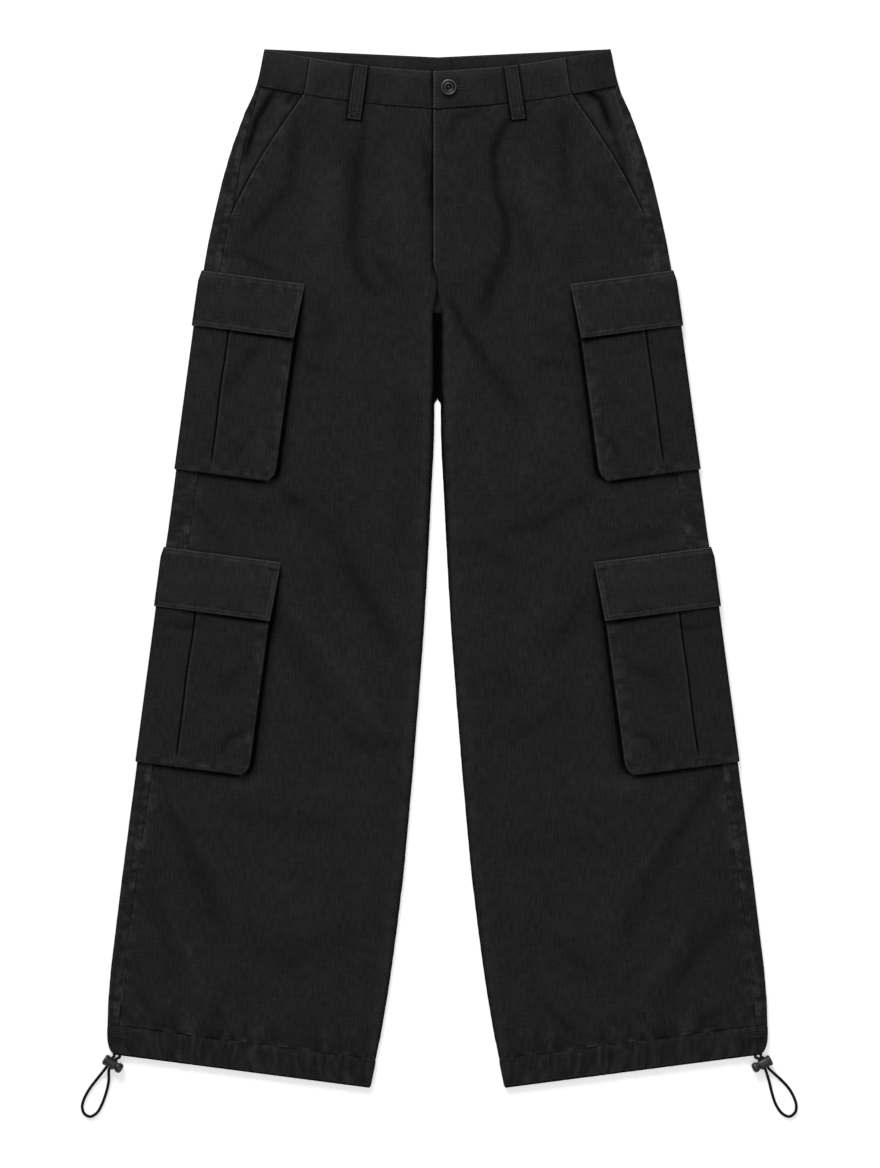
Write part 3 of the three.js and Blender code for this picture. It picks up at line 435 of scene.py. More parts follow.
# Folds of the fronts: three places along each fold, as distances right of the centre line and
# below the waist corner, then its half width and its rise, below 0 for a trough
foldRows = [
    (-140, 72, -146, 138, -194, 192, 7, -0.9), (-82, 96, -82, 150, -86, 200, 8.5, -1.1),
    (-86, 198, -76, 230, -60, 246, 8, -0.9), (-74, 62, -74, 86, -76, 116, 3.5, -0.6),
    (-14, 90, -10, 126, -6, 170, 4.5, -1), (-62, 208, -48, 230, -34, 242, 6.5, -0.6),
    (-200, 202, -182, 214, -160, 224, 3.6, -0.9), (-120, 250, -110, 278, -124, 300, 9, -0.6),
    (-140, 306, -126, 320, -112, 322, 5.5, -0.6), (-158, 436, -148, 448, -134, 458, 4.2, -1.2),
    (-138, 456, -100, 490, -80, 542, 12, -0.75), (-224, 450, -178, 464, -128, 450, 9.5, -0.6),
    (-234, 464, -224, 484, -200, 498, 7, -0.5), (-90, 516, -60, 568, -38, 610, 8.5, -1.1),
    (-164, 530, -120, 590, -52, 682, 5.5, 0.48), (-166, 562, -136, 606, -106, 662, 13, -0.7),
    (-94, 684, -70, 696, -40, 694, 10, -0.8), (-202, 764, -158, 772, -106, 778, 8, -0.6),
    (-272, 750, -248, 798, -212, 888, 10.5, -1.05), (-270, 736, -242, 788, -222, 824, 4, 0.48),
    (-280, 828, -258, 880, -232, 950, 6, 0.36), (-288, 834, -274, 880, -258, 934, 9, -0.75),
    (-200, 886, -148, 910, -94, 886, 13, -0.65), (-34, 342, -36, 380, -38, 420, 10, -0.45),
    (-30, 436, -34, 470, -40, 510, 11, -0.5), (-108, 110, -112, 156, -120, 200, 14, 0.27),
    (-42, 100, -40, 156, -34, 190, 13, 0.27), (-138, 750, -102, 740, -66, 750, 10, 0.24),
    (-176, 830, -138, 850, -108, 856, 14, 0.3), (-298, 940, -290, 954, -282, 972, 4, -1),
    (-224, 956, -216, 968, -206, 980, 4.5, -0.9), (-138, 972, -146, 982, -154, 990, 4, -0.8),
    (-98, 570, -86, 610, -80, 640, 11, 0.21), (-18, 310, -24, 330, -28, 350, 10, 0.24),
    (74, 62, 56, 102, 58, 142, 4.6, -1.25), (58, 138, 70, 176, 68, 212, 5, -1.3),
    (68, 208, 54, 236, 44, 266, 8, -1.1), (40, 64, 18, 68, 12, 92, 3.4, -0.9),
    (126, 62, 126, 100, 130, 154, 6.5, -0.75), (74, 146, 88, 182, 94, 218, 7.5, -0.5),
    (150, 132, 166, 144, 176, 164, 5.5, -0.75), (10, 242, 24, 276, 54, 322, 5, -1),
    (50, 316, 70, 346, 90, 370, 8, -0.65), (108, 280, 122, 292, 134, 300, 9, -0.5),
    (100, 316, 118, 314, 136, 318, 5.5, -0.7), (60, 482, 100, 478, 160, 438, 7.5, -1),
    (166, 500, 202, 488, 232, 482, 5, -0.9), (22, 498, 52, 500, 88, 524, 7.5, -0.8),
    (154, 540, 136, 572, 108, 608, 8, -0.9), (58, 618, 66, 634, 70, 652, 13, -0.6),
    (136, 654, 102, 676, 50, 690, 9, -0.6), (62, 806, 122, 796, 174, 800, 9.5, -0.55),
    (278, 728, 244, 778, 214, 830, 8, -1.2), (216, 826, 202, 856, 184, 896, 10, -0.95),
    (262, 738, 226, 790, 180, 844, 5, 0.42), (304, 864, 264, 892, 226, 958, 10, -1.25),
    (254, 866, 218, 924, 192, 960, 6.5, 0.45), (110, 890, 134, 906, 158, 932, 9.5, -0.65),
    (102, 950, 126, 974, 150, 990, 4, -0.95), (82, 100, 86, 130, 98, 166, 12, 0.27),
    (32, 290, 14, 330, 12, 370, 10, 0.27), (102, 350, 108, 390, 82, 430, 13, 0.21),
    (122, 510, 108, 550, 82, 590, 12, 0.24), (122, 720, 162, 740, 212, 730, 15, 0.24),
    (122, 830, 162, 850, 172, 880, 12, 0.21), (172, 968, 180, 976, 186, 986, 3.5, -0.9),
    (198, 964, 206, 972, 214, 984, 3.5, -0.9), (262, 970, 278, 964, 298, 960, 4, -0.9),
    (140, 190, 134, 210, 122, 226, 9, -0.4),
]


def strokeAt(x, y, ax, ay, bx, by):
    t = np.clip(((x - ax) * (bx - ax) + (y - ay) * (by - ay)) / ((bx - ax) ** 2 + (by - ay) ** 2), 0, 1)
    return t, np.hypot(x - mix(ax, bx, t), y - mix(ay, by, t))


def foldSum(rows, x, height):
    total = np.zeros(np.broadcast(x, height).shape)
    for ax, ay, bx, by, cx, cy, width, rise in rows:
        t1, d1 = strokeAt(x, height, ax, ay, bx, by)
        t2, d2 = strokeAt(x, height, bx, by, cx, cy)
        along = np.where(d1 < d2, t1, 1 + t2)
        fade = smooth(along, -0.3, 0.5) * (1 - smooth(along, 1.5, 2.3))
        total = total + rise * fade * nearLine(np.minimum(d1, d2), width)
    return total


# Smooth repeatable noise, from -1 to 1
def softNoise(x, y, size, seed):
    x, y = np.asarray(x, float) / size + 37.2 * seed, np.asarray(y, float) / size + 11.7 * seed
    left, low = np.floor(x), np.floor(y)
    u, v = x - left, y - low
    u, v = u * u * (3 - 2 * u), v * v * (3 - 2 * v)

    def corner(i, j):
        wild = np.sin((left + i) * 127.1 + (low + j) * 311.7 + seed * 74.7) * 43758.5453
        return 2 * (wild - np.floor(wild)) - 1

    return mix(mix(corner(0, 0), corner(1, 0), u), mix(corner(0, 1), corner(1, 1), u), v)


pocketFolds = {
    ("upper", "left"): [
        (-176, 294, -196, 320, -214, 346, 6, -0.75), (-192, 394, -198, 404, -202, 414, 3, -0.6),
        (-238, 300, -232, 306, -224, 310, 5, -0.4), (-176, 380, -176, 400, -182, 412, 5, 0.4),
    ],
    ("lower", "left"): [
        (-192, 682, -208, 688, -218, 706, 2.4, -1), (-224, 640, -206, 632, -196, 626, 8, -0.55),
        (-276, 576, -254, 578, -232, 576, 4, -0.6), (-202, 698, -192, 694, -188, 702, 3.5, 0.5),
    ],
    ("upper", "right"): [
        (168, 388, 176, 396, 180, 412, 3.2, -0.9), (168, 346, 180, 352, 188, 354, 8, -0.5),
        (226, 300, 240, 310, 252, 308, 7, -0.45), (166, 412, 170, 406, 174, 400, 4, 0.5),
    ],
    ("lower", "right"): [
        (196, 684, 212, 688, 220, 702, 2.4, -1), (196, 618, 214, 624, 230, 640, 8, -0.6),
        (240, 578, 258, 580, 276, 576, 4, -0.6), (192, 698, 198, 694, 204, 700, 3.5, 0.5),
    ],
}
# tone sets the painted shade in fold troughs and the painted highlight on ridges; the other values shape the
# relief
relief = {
    "folds": 1.3, "tone": 0.42, "downTheLeg": 0.62, "deepest": -1.35, "broad": 0.28, "fine": 0.22,
    "trough": 2.2, "pocketFolds": 1.2,
}


# The leg sinks beside the inner edge of each pocket, where the pocket's weight hangs
def pocketTrough(inward, down):
    deep = 0
    for pocket in sidePockets.values():
        along = smooth(down, pocket["flapTop"] + 8, pocket["flapBottom"]) * (
            1 - smooth(down, pocket["bottom"] - 4, pocket["bottom"] + 14))
        deep = deep + along * nearLine(inward - pocket["edge"] - 2, 9)
    return deep


def pocketCover(inward, down, margin, reach):
    cover = 1
    for pocket in sidePockets.values():
        across = 1 - smooth(inward, pocket["flapEdge"] + margin, pocket["flapEdge"] + reach)
        along = smooth(down, pocket["flapTop"] - reach, pocket["flapTop"] - margin)
        along = along * (1 - smooth(down, pocket["bottom"] + margin, pocket["bottom"] + reach))
        cover = cover * (1 - across * along)
    return cover


# The folds get softer down the leg
def frontFolds(x, height, highest):
    strength = mix(1, relief["downTheLeg"], smooth(height, 330, 460))
    return strength * np.clip(foldSum(foldRows, x, height), relief["deepest"], highest)


def frontRelief(inward, down, x, height):
    calm = pocketCover(inward, down, 2, 22) * smooth(inward, 18, 36)
    calm = calm * smooth(down, 48, 70) * (1 - smooth(down, 950, 972)) * smooth(np.abs(x), 12, 28)
    folds = relief["folds"] * frontFolds(x, height, 1)
    broad = relief["broad"] * softNoise(x, height, 75, 3) + relief["fine"] * softNoise(x, height * 0.6, 22, 5)
    trough = relief["trough"] * pocketTrough(inward, down) * smooth(inward, 60, 80)
    return calm * (folds + broad) - trough


# Tone of the cloth: above 0 it is paler, partly rubbed wear and partly painted highlight; below 0 it is painted
# shade, near black
# A pale line along an edge, partly rubbed wear and partly painted highlight
def rubbedAndLitEdge(distance, pale=0.6, beside=0.1):
    distance = np.asarray(distance, float)
    return pale * nearLine(distance - 0.9, 0.85) + beside * nearLine(distance - 4.5, 3)


# Painted shade on the turn of a side fold, where the cloth faces sideways
def foldTurnShade(lead):
    return -0.8 * (1 - smooth(np.abs(lead), 1.2, 2.8))


# Painted shade on the cloth beside, above and under the pockets and flaps, and round the belt loops, where
# their shadow falls
def shadeBeside(inward, down, x, height):
    dark = 0
    for pocket in sidePockets.values():
        top, low, bottom = pocket["flapTop"], pocket["flapBottom"], pocket["bottom"]
        edge = np.where(down < low, flapEdgeAt(pocket, down), pocketEdge(pocket, down) + 0.8)
        reach = mix(1.2, 7.0, ramp(down, top, low)) - 1.5 * smooth(down, low, low + 3)
        reach = reach + 1.5 * ramp(down, low, bottom)
        away = (inward - edge - 0.3) / reach
        beside = 0.72 * (1 - smooth(away, 0.25, 0.75)) + 0.28 * (1 - smooth(away, 0.6, 2.2))
        beside = beside * smooth(down, top + 1, top + 12) * (1 - smooth(down, bottom - 4, bottom + 2))
        across = mix(0.6, 1, ramp(inward, 10, 90)) * (1 - smooth(inward, edge - 5, edge + 3))
        under = (1 - smooth(down - bottom - 0.3, 1.0, 5.0)) * smooth(down, bottom - 4, bottom - 1) * across
        above = 0.45 * nearLine(top - down, 1.1) * (inward < edge)
        dark = dark + beside + under + above
    for name, side in sides.items():
        topX, bottomX, topHeight, bottomHeight = loops["front"][name]
        t = (height - topHeight) / (bottomHeight - topHeight)
        aside = np.abs(side * x - mix(topX, bottomX, t)) - loops["width"] / 2
        beyond = np.maximum(height - bottomHeight, topHeight - height)
        dark = dark + nearLine(np.maximum(np.maximum(aside, beyond), 0), 1.9)
    return np.clip(dark, 0, 1)


# Painted shade in the front's fold troughs and painted highlight on their ridges, with the painted shade beside
# the pockets and loops
def frontShading(inward, down, x, height):
    return relief["tone"] * frontFolds(x, height, 0.3) - 0.95 * shadeBeside(inward, down, x, height)


def centreLift(side, x, down, top, inner):
    if side < 0:
        return 0
    return top * (1 - smooth(x, inner + 3, 60)) * (1 - ramp(down, fly["overGone"], fly["flat"]))


# A point of the trousers' outer skin, moved out by "stand". "centre" is where a row turns down
# into the inner fold of the leg.
def skin(side, face, lead, down, stand=0.0, centre=None, isBand=False, isPlain=False):
    lead, down = np.broadcast_arrays(np.asarray(lead, float), np.asarray(down, float))
    stand = np.broadcast_to(np.asarray(stand, float), lead.shape)
    around = np.abs(lead)
    inward = foldRadius + around - quarter
    turn = np.minimum(around / foldRadius, math.pi / 2)
    onFold = around < quarter
    up = np.where(lead >= 0, 1.0, -1.0)
    radius = foldRadius + stand
    place = np.where(onFold, foldRadius - radius * np.cos(turn), inward)
    z = np.where(onFold, foldRadius + up * radius * np.sin(turn), foldRadius + up * radius)
    if centre is not None:
        bend = np.maximum(inward - centre, 0) / foldRadius
        z = np.where(bend > 0, foldRadius + up * radius * np.cos(bend), z)
        place = np.where(bend > 0, centre + radius * np.sin(bend), place)
    if face == "wrap":
        height = np.where(lead > 0, rowHeight("front", down, place), rowHeight("back", down, place))
    else:
        height = rowHeight(face, down, place)
    x = side * (sideHalf(down) - place)
    z = z + sideLift(np.maximum(place, 0), down) + waistLift(down)
    isFront = (lead > quarter) & (face == "front")
    if isBand:
        z = z + np.where(isFront, centreLift(side, x, down, band["lapLift"], band["underlap"]), 0)
    elif not isPlain:
        lift = centreLift(side, x, down, fly["lift"], fly["underlap"])
        z = z + np.where(isFront, lift + frontRelief(place, down, x, height), 0)
    return np.stack([x, cloth["waistTopY"] - height, z], axis=-1)


def leadOf(inward):
    return np.asarray(inward, float) - foldRadius + quarter


def leadToInward(lead):
    return foldRadius + np.asarray(lead, float) - quarter


# The same, but 0 round the back, for what lies on the front alone
def frontInward(lead):
    return np.where(lead > 0, leadToInward(lead), 0)


# Shells

def spread(start, end, step, fine=()):
    inner = [start + d for d in fine] + [end - d for d in fine]
    count = max(1, int(round((end - start) / step)))
    return np.array(sorted(set(np.round(list(np.linspace(start, end, count + 1)) + inner, 3))))


def finishPiece(piece, kind, body=garmentBody, nodes=()):
    piece.data.materials.clear()
    piece.data.materials.append(materials[kind])
    for polygon in piece.data.polygons:
        polygon.use_smooth = True
    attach(piece, body)
    if nodes:
        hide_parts(*nodes)


# A closed wall of cloth on a grid of places. place(columns, rows, step) gives its points, for the
# outer face, the inner face and each step of the rim that joins them.
def clothShell(name, columns, rows, place, rim, wearAndShadeOf=None, isRing=False, rimShade=-0.7):
    count, width = columns.shape
    outerPoints = place(columns, rows, "outer")
    innerPoints = place(columns, rows, "inner")
    points = [outerPoints.reshape(-1, 3), innerPoints.reshape(-1, 3)]
    cut = [np.stack([columns, rows], -1).reshape(-1, 2)] * 2
    grid = np.arange(count * width).reshape(count, width)
    across = width if isRing else width - 1
    faces = []
    for base, flip in ((0, False), (count * width, True)):
        a = grid[:-1, :across] + base
        b = np.roll(grid, -1, axis=1)[:-1, :across] + base
        c = np.roll(grid, -1, axis=1)[1:, :across] + base
        d = grid[1:, :across] + base
        quads = np.stack([a, d, c, b] if flip else [a, b, c, d], -1).reshape(-1, 4)
        faces.append(quads)
    base = 2 * count * width
    for loop in edgeLoops(grid, isRing):
        previous = loop
        for step in rim:
            ring = place(columns, rows, step)
            points.append(ring.reshape(-1, 3)[loop])
            cut.append(cut[0][loop])
            current = base + np.arange(len(loop))
            base += len(loop)
            faces.append(joinLoops(previous, current))
            previous = current
        faces.append(joinLoops(previous, loop + count * width))
    points, cut = np.concatenate(points), np.concatenate(cut)
    mesh = bpy.data.meshes.new(name)
    mesh.from_pydata((points * mm).tolist(), [], np.concatenate(faces).tolist())
    mesh.validate()
    piece = addObject(name, mesh)
    uv = mesh.uv_layers.new(name="cut")
    corners = np.empty(len(mesh.loops), int)
    mesh.loops.foreach_get("vertex_index", corners)
    # The yarns run straight down the leg, so the side fold crosses them
    grain = np.stack([sideHalf(cut[:, 1]) - cut[:, 0], cut[:, 1] + cloth["rowSlope"] * np.abs(cut[:, 0])], -1)
    uv.data.foreach_set("uv", (grain[corners] * mm).ravel())
    wearAndShade = mesh.attributes.new("wearAndShade", "FLOAT", "POINT")
    # The tone of each point: rubbed wear, painted highlight and painted shade.
    amount = np.zeros(len(points)) if wearAndShadeOf is None else wearAndShadeOf(cut[:, 0], cut[:, 1], points)
    # Painted shade on the rim faces, which turn sideways.
    amount[2 * count * width:] += rimShade
    wearAndShade.data.foreach_set("value", np.clip(amount, -1, 1))
    outward(mesh)
    return piece


def edgeLoops(grid, isRing):
    if isRing:
        return [grid[0], grid[-1][::-1]]
    loop = np.concatenate([grid[0, :-1], grid[:-1, -1], grid[-1, :0:-1], grid[:0:-1, 0]])
    return [loop]


def joinLoops(first, second):
    nextFirst, nextSecond = np.roll(first, -1), np.roll(second, -1)
    return np.stack([nextFirst, first, second, nextSecond], -1)


def outward(mesh):
    work = bmesh.new()
    work.from_mesh(mesh)
    if work.calc_volume(signed=True) < 0:
        bmesh.ops.reverse_faces(work, faces=work.faces)
    work.to_mesh(mesh)
    work.free()


# The places of a rim, from a single layer's rolled edge and a doubled slab's rounded one: how far
# out along the cloth and how far under the skin, as shares of the wall
rolledRim = [(0.26, 0.1), (0.45, 0.35), (0.45, 0.65), (0.26, 0.9)]
slabRim = [(0.12, 0.04), (0.22, 0.14), (0.29, 0.3), (0.31, 0.5), (0.29, 0.7), (0.22, 0.86), (0.12, 0.96)]


def rimShift(columns, rows, out, isRing=False):
    columns, rows = columns.copy(), rows.copy()
    if not isRing:
        way = np.sign(columns[:, -1] - columns[:, 0])
        columns[:, 0] -= out * way
        columns[:, -1] += out * way
    rows[0, :] -= out
    rows[-1, :] += out
    return columns, rows


def flatCut(columns, rows):
    widths = columns[:, -1] - columns[:, 0]
    steps = rows[:, 0]
    area = float(np.sum((np.abs(widths[1:]) + np.abs(widths[:-1])) / 2 * np.diff(steps))) * mm * mm
    wide = float(columns.max() - columns.min()) * mm
    tall = float(rows.max() - rows.min()) * mm
    return (wide, tall), min(area, wide * tall)


# A piece of cloth from its grid, with the CAD node that it replaces
def makeSheet(name, node, grid, place, rim, wearAndShadeOf=None):
    piece = clothShell(name, *grid, place, rim, wearAndShadeOf)
    finishPiece(piece, "cloth", nodes=[node])
    flat, area = flatCut(*grid)
    print(f"  {name}: cut {flat[0] / mm:.0f} x {flat[1] / mm:.0f} mm, {area * 1e4:.0f} cm2")


def panelPlace(surface, wall, isRing=False):
    def place(columns, rows, step):
        if step == "outer":
            return surface(columns, rows, 0)
        if step == "inner":
            return surface(columns, rows, -wall)
        out, under = step
        movedColumns, movedRows = rimShift(columns, rows, out * wall, isRing)
        return surface(movedColumns, movedRows, -wall * under)
    return place


def panelRows(top, bottom, step):
    below = [pocket["bottom"] + d for pocket in sidePockets.values() for d in (-1, 0.5, 2, 3.5, 5, 6.5)]
    plain = spread(top, bottom, step, (0.6, 1.4, 2.6, 4.2))
    return np.array(sorted(set(plain) | {row for row in below if top + 5 < row < bottom - 5}))


def buildGrid(rowPlaces, columnsOf):
    lines = [columnsOf(down) for down in rowPlaces]
    width = max(len(line) for line in lines)
    even = [line if len(line) == width else np.interp(
        np.linspace(0, 1, width), np.linspace(0, 1, len(line)), line) for line in lines]
    columns = np.array(even)
    rows = np.repeat(np.asarray(rowPlaces, float)[:, None], width, axis=1)
    return columns, rows


# Front panels

front = {
    "rowStep": 3.2, "pucker": 0.42, "besidePocket": (90, 126), "slantStitch": (1.9, 7.6),
    "inseamStitch": (8.2, 11.4),
}


# Columns from the start to the end of a row, close together at both ends and beside the pockets
def frontColumns(start, end):
    low, high = leadOf(front["besidePocket"][0]), leadOf(front["besidePocket"][1])
    near = np.array([0, 0.6, 1.3, 2.2, 3.3, 5.0])
    outer = np.linspace(start + 7.5, low, 20, endpoint=False)
    beside = np.linspace(low, high, 22, endpoint=False)
    inner = np.linspace(high, end - 7.5, 40)
    return np.concatenate([start + near, outer, beside, inner, end - near[::-1]])


def frontStart(down):
    above = mix(slant["topInward"], slant["bottomInward"], ramp(down, slant["topDown"], slant["bottomDown"]))
    return np.where(down >= slant["bottomDown"], outseam(down) + cloth["gap"] / 2, above)


def flyReach(side, down):
    past = fly["overlap"] if side > 0 else fly["underlap"]
    start, end = (fly["underGone"], fly["overGone"]) if side > 0 else (fly["underEnd"], fly["underGone"])
    return (past + cloth["gap"] / 2) * (1 - ramp(down, start, end))


def frontCentre(side, down):
    reach = innerReach("front", down)
    angle = edgeAngle("front", rowHeight("front", down, reach))
    bend = np.cos(np.radians(np.maximum(0, angle)))
    return reach + flyReach(side, down) - foldRadius * bend, angle


def frontEnd(side, down):
    centre, angle = frontCentre(side, down)
    return leadOf(centre) + foldRadius * np.radians(90 - angle)


# Puckered cloth beside a seam: short waves that die away from it
def pucker(distance, along, seed, reach=9.0, wave=7.0):
    wobble = softNoise(along, distance * 0.4, wave, seed)
    wobble = wobble + 0.6 * softNoise(along, distance, wave * 0.5, seed + 9)
    return wobble * nearLine(distance, reach)


def seamRoll(distance, depth=0.8, width=1.3):
    return -depth * nearLine(np.maximum(distance, 0), width)


def frontSurface(side):
    def surface(lead, down, stand):
        start = leadOf(frontStart(down))
        centre, _ = frontCentre(side, down)
        end = frontEnd(side, down)
        fromStart, fromEnd = lead - start, end - lead
        puckers = 1.5 * pucker(fromStart, down, 11, 10, 6) + pucker(fromEnd - 8, down, 17, 8)
        detail = front["pucker"] * puckers
        detail = detail + seamRoll(fromStart, 0.55) + seamRoll(down - band["depth"], 0.6)
        detail = detail + 0.5 * pucker(down - band["depth"], lead, 23, 11, 9)
        detail = detail + 1.5 * pucker((hem["top"] - down) * 0.7, lead, 29, 13, 9)
        below = smooth(down, 230, 262)
        inseam = 0.45 * (1 - smooth(fromEnd, 9.5, 12.5)) - 0.25 * nearLine(fromEnd - 10, 1.2)
        detail = detail + below * inseam
        return skin(side, "front", lead, down, stand + detail, centre)
    return surface


def frontWearAndShade(side):
    def wearAndShadeOf(lead, down, points):
        x, height = points[:, 0], cloth["waistTopY"] - points[:, 1]
        fromStart, fromEnd = lead - leadOf(frontStart(down)), frontEnd(side, down) - lead
        fromBand, fromHem = down - band["depth"], hem["top"] - down
        below, parted = smooth(height, 236, 262), smooth(height, 256, 269)
        onSlant = mix(1, 0.3, smooth(down, slant["bottomDown"] - 4, slant["bottomDown"] + 8))
        # Beside the seams: pale rubbed edges and light and dark pucker marks, with painted shade in a line
        # under the waistband, along the hem seam and above the hem
        seamTones = [
            onSlant * rubbedAndLitEdge(fromStart, 0.6, 0.06), 0.3 * pucker(fromStart, down, 11, 8, 5),
            (0.1 * below + 0.12 * softNoise(down, lead, 5, 19)) * nearLine(fromEnd - 9, 4),
            0.16 * pucker(fromBand, lead, 23, 9, 6), -0.1 * nearLine(fromBand, 1.3),
            0.2 * nearLine(fromHem, 1.0), 0.44 * pucker(fromHem * 0.7, lead, 29, 13, 7),
            -0.1 * nearLine(fromHem - 5, 7), 0.07 * softNoise(lead, down, 5, 33),
            -(0.15 + 0.55 * softNoise(lead, down, 7, 37)) * nearLine(fromHem, 1.6),
        ]
        amount = sum(seamTones)
        if side > 0:
            amount = amount + rubbedAndLitEdge(fromEnd, 0.7, 0.1) * (1 - smooth(height, 208, 228))
        else:
            # Painted shade beside the fly's edge on this under front, where the other front laps over it, and
            # along its inner edge down to the crotch
            beside = 0.8 * (1 - smooth(-x, 5.2, 6.8)) + 0.2 * (1 - smooth(-x, 6, 12))
            amount = amount - beside * (1 - smooth(height, 214, 232))
            amount = amount - 0.8 * nearLine(fromEnd, 1.6) * smooth(height, 212, 224) * (1 - below)
        # Painted shade in the crotch fork and along the inner fold where the legs part
        fork = parted * (1 - smooth(height, 352, 372)) * nearLine(np.maximum(fromEnd - 1.5, 0), 2.2)
        fold = mix(6.5, 3.8, smooth(height, 420, 600))
        amount = amount - fork - 0.8 * parted * (1 - smooth(fromEnd, 0.35 * fold, fold))
        return amount + frontShading(leadToInward(lead), down, x, height)
    return wearAndShadeOf


def makeFronts():
    made = {}
    places = panelRows(band["depth"] + cloth["gap"], hem["top"] - cloth["gap"], front["rowStep"])
    for name, side in sides.items():
        def columnsOf(down, side=side):
            return frontColumns(leadOf(frontStart(down)), frontEnd(side, down))
        made[name] = frontSurface(side)
        makeSheet(f"frontPanel.{name}", f"front_{name}", buildGrid(places, columnsOf),
                  panelPlace(made[name], cloth["wall"]), rolledRim, frontWearAndShade(side))
    print("front panels made")
    return made


# Back panels, from the outseam on the front round the side fold to the inseam

back = {"rowStep": 2.4, "strip": 0.7, "stitch": (1.9, 7.4), "stitchFrom": 9.5}


def backCentre(down):
    reach = innerReach("back", down)
    angle = edgeAngle("back", rowHeight("back", down, reach))
    return reach - foldRadius * np.cos(np.radians(angle)), angle


def backEnd(down):
    centre, angle = backCentre(down)
    return leadOf(centre) + foldRadius * np.radians(90 + angle)


def backStrip(down):
    return np.maximum(outseam(down) - cloth["gap"] / 2, foldRadius + 0.4)


def backSurface(side):
    def surface(lead, down, stand):
        strip = leadOf(backStrip(down))
        centre, _ = backCentre(down)
        onStrip = lead > -quarter * 0.3
        fromSeam = strip - lead
        detail = back["strip"] * (1 - smooth(fromSeam, 7, 14)) * smooth(lead, 0, 5) * smooth(strip, 9, 16)
        detail = detail + seamRoll(fromSeam, 0.5, 1.0) + 0.42 * pucker(fromSeam - 5, down, 41, 9, 8)
        detail = detail * pocketCover(np.maximum(lead, 0), down, 1, 10)
        stand = stand + np.where(onStrip, detail, 0)
        return skin(side, "wrap", lead, down, stand, np.where(lead < 0, centre, 1e6))
    return surface


def makeBacks():
    made = {}
    places = panelRows(band["depth"] + cloth["gap"], hem["top"] - cloth["gap"], back["rowStep"])
    for name, side in sides.items():
        def columnsOf(down):
            strip = leadOf(backStrip(down))
            shares = np.array([0, 0.03, 0.07, 0.12, 0.2, 0.32, 0.46, 0.6, 0.74, 0.87, 1])
            onFront = mix(strip, quarter, shares)
            around = np.linspace(quarter, -quarter, 11)[1:]
            end = -backEnd(down)
            under = -leadOf(np.array([14, 26, 36, 41, 46, 51, 56, 70, 90, 120, 150, 180, 205]))
            under = np.maximum(under, mix(-quarter, end + 5, np.linspace(0.1, 0.98, 13)))
            inner = mix(end + 4.4, end, np.linspace(0, 1, 6))
            return np.concatenate([onFront, around, under, inner])
        made[name] = backSurface(side)

        def wearAndShadeOf(lead, down, points):
            x, height = points[:, 0], cloth["waistTopY"] - points[:, 1]
            fromSeam = leadOf(backStrip(down)) - lead
            strip = (lead > -1) * (0.3 * softNoise(down, lead * 0.5, 3.6, 43) + 0.04) + foldTurnShade(lead)
            strip = strip - 0.3 * nearLine(fromSeam - back["stitch"][1], 1.0) * (lead > -1)
            strip = strip + 0.42 * pucker(fromSeam, down, 41, 7, 4)
            # Painted shade inside the crotch where the legs part and beside the pockets, with painted shade on
            # the turn of the side fold
            inCrotch = (np.abs(x) < 16) & (height > 262) & (height < 357) & (lead < 0)
            dark = shadeBeside(leadToInward(lead), down, x, height) * (lead > 0)
            return rubbedAndLitEdge(fromSeam, 0.15, 0.08) + strip - dark - 1.2 * inCrotch
        makeSheet(f"backPanel.{name}", f"back_{name}", buildGrid(places, columnsOf),
                  panelPlace(made[name], cloth["wall"]), rolledRim, wearAndShadeOf)
    print("back panels made")
    return made


# Hip facings, which show inside the slanted pockets one layer below the front

facing = {
    "drop": 1.8, "under": 11.0, "behind": 3.6, "trough": 1.3,
    "folds": [
        (-162, 40, -180, 70, -194, 112, 3.4, -1.3), (-140, 42, -146, 47, -151, 54, 3, -0.8),
        (146, 41, 163, 51, 174, 82, 3.4, -1.2), (176, 84, 182, 104, 190, 130, 3, -0.6),
    ],
}


def facingSurface(side):
    def surface(lead, down, stand):
        seam = leadOf(outseam(down))
        inward = leadToInward(lead)
        x = side * (sideHalf(down) - inward)
        creases = foldSum(facing["folds"], x, rowHeight("front", down, inward))
        trough = facing["trough"] * creases * smooth(down, 38, 46)
        detail = trough + 0.3 * pucker(lead - seam, down, 51, 14, 11)
        return skin(side, "front", lead, down, stand - facing["drop"] + detail)
    return surface


def makeFacings():
    places = panelRows(band["depth"] + cloth["gap"], slant["bottomDown"] - 2, 2.4)
    for name, side in sides.items():
        def columnsOf(down):
            start = leadOf(np.maximum(outseam(down) - facing["behind"], foldRadius))
            return np.linspace(start, leadOf(frontStart(down)) + facing["under"], 30)

        def wearAndShadeOf(lead, down, points):
            creases = foldSum(facing["folds"], points[:, 0], cloth["waistTopY"] - points[:, 1])
            # Painted light along the outseam, lifting the shade of the step down from the back's strip, and
            # painted shade in the facing's creases and under the front's slanted edge
            outer = 0.4 * nearLine(lead - leadOf(outseam(down)), 3.0)
            shown = 0.1 + 0.75 * creases + outer + 0.12 * softNoise(lead, down, 6, 53)
            return shown - 1.1 * nearLine(np.minimum(lead - leadOf(frontStart(down)) + 0.6, 0), 1.5)
        makeSheet(f"hipFacing.{name}", f"hip_facing_{name}", buildGrid(places, columnsOf),
                  panelPlace(facingSurface(side), cloth["wall"]), rolledRim, wearAndShadeOf)
    print("hip facings made")


# Waistband: two fronts that lap under the button, and one back

bandLook = {"belly": 0.35, "stitchIn": 2.4, "rowStep": 2.2}


def joinInward(down):
    return mix(band["joinTop"], band["joinBottom"], down / band["depth"])


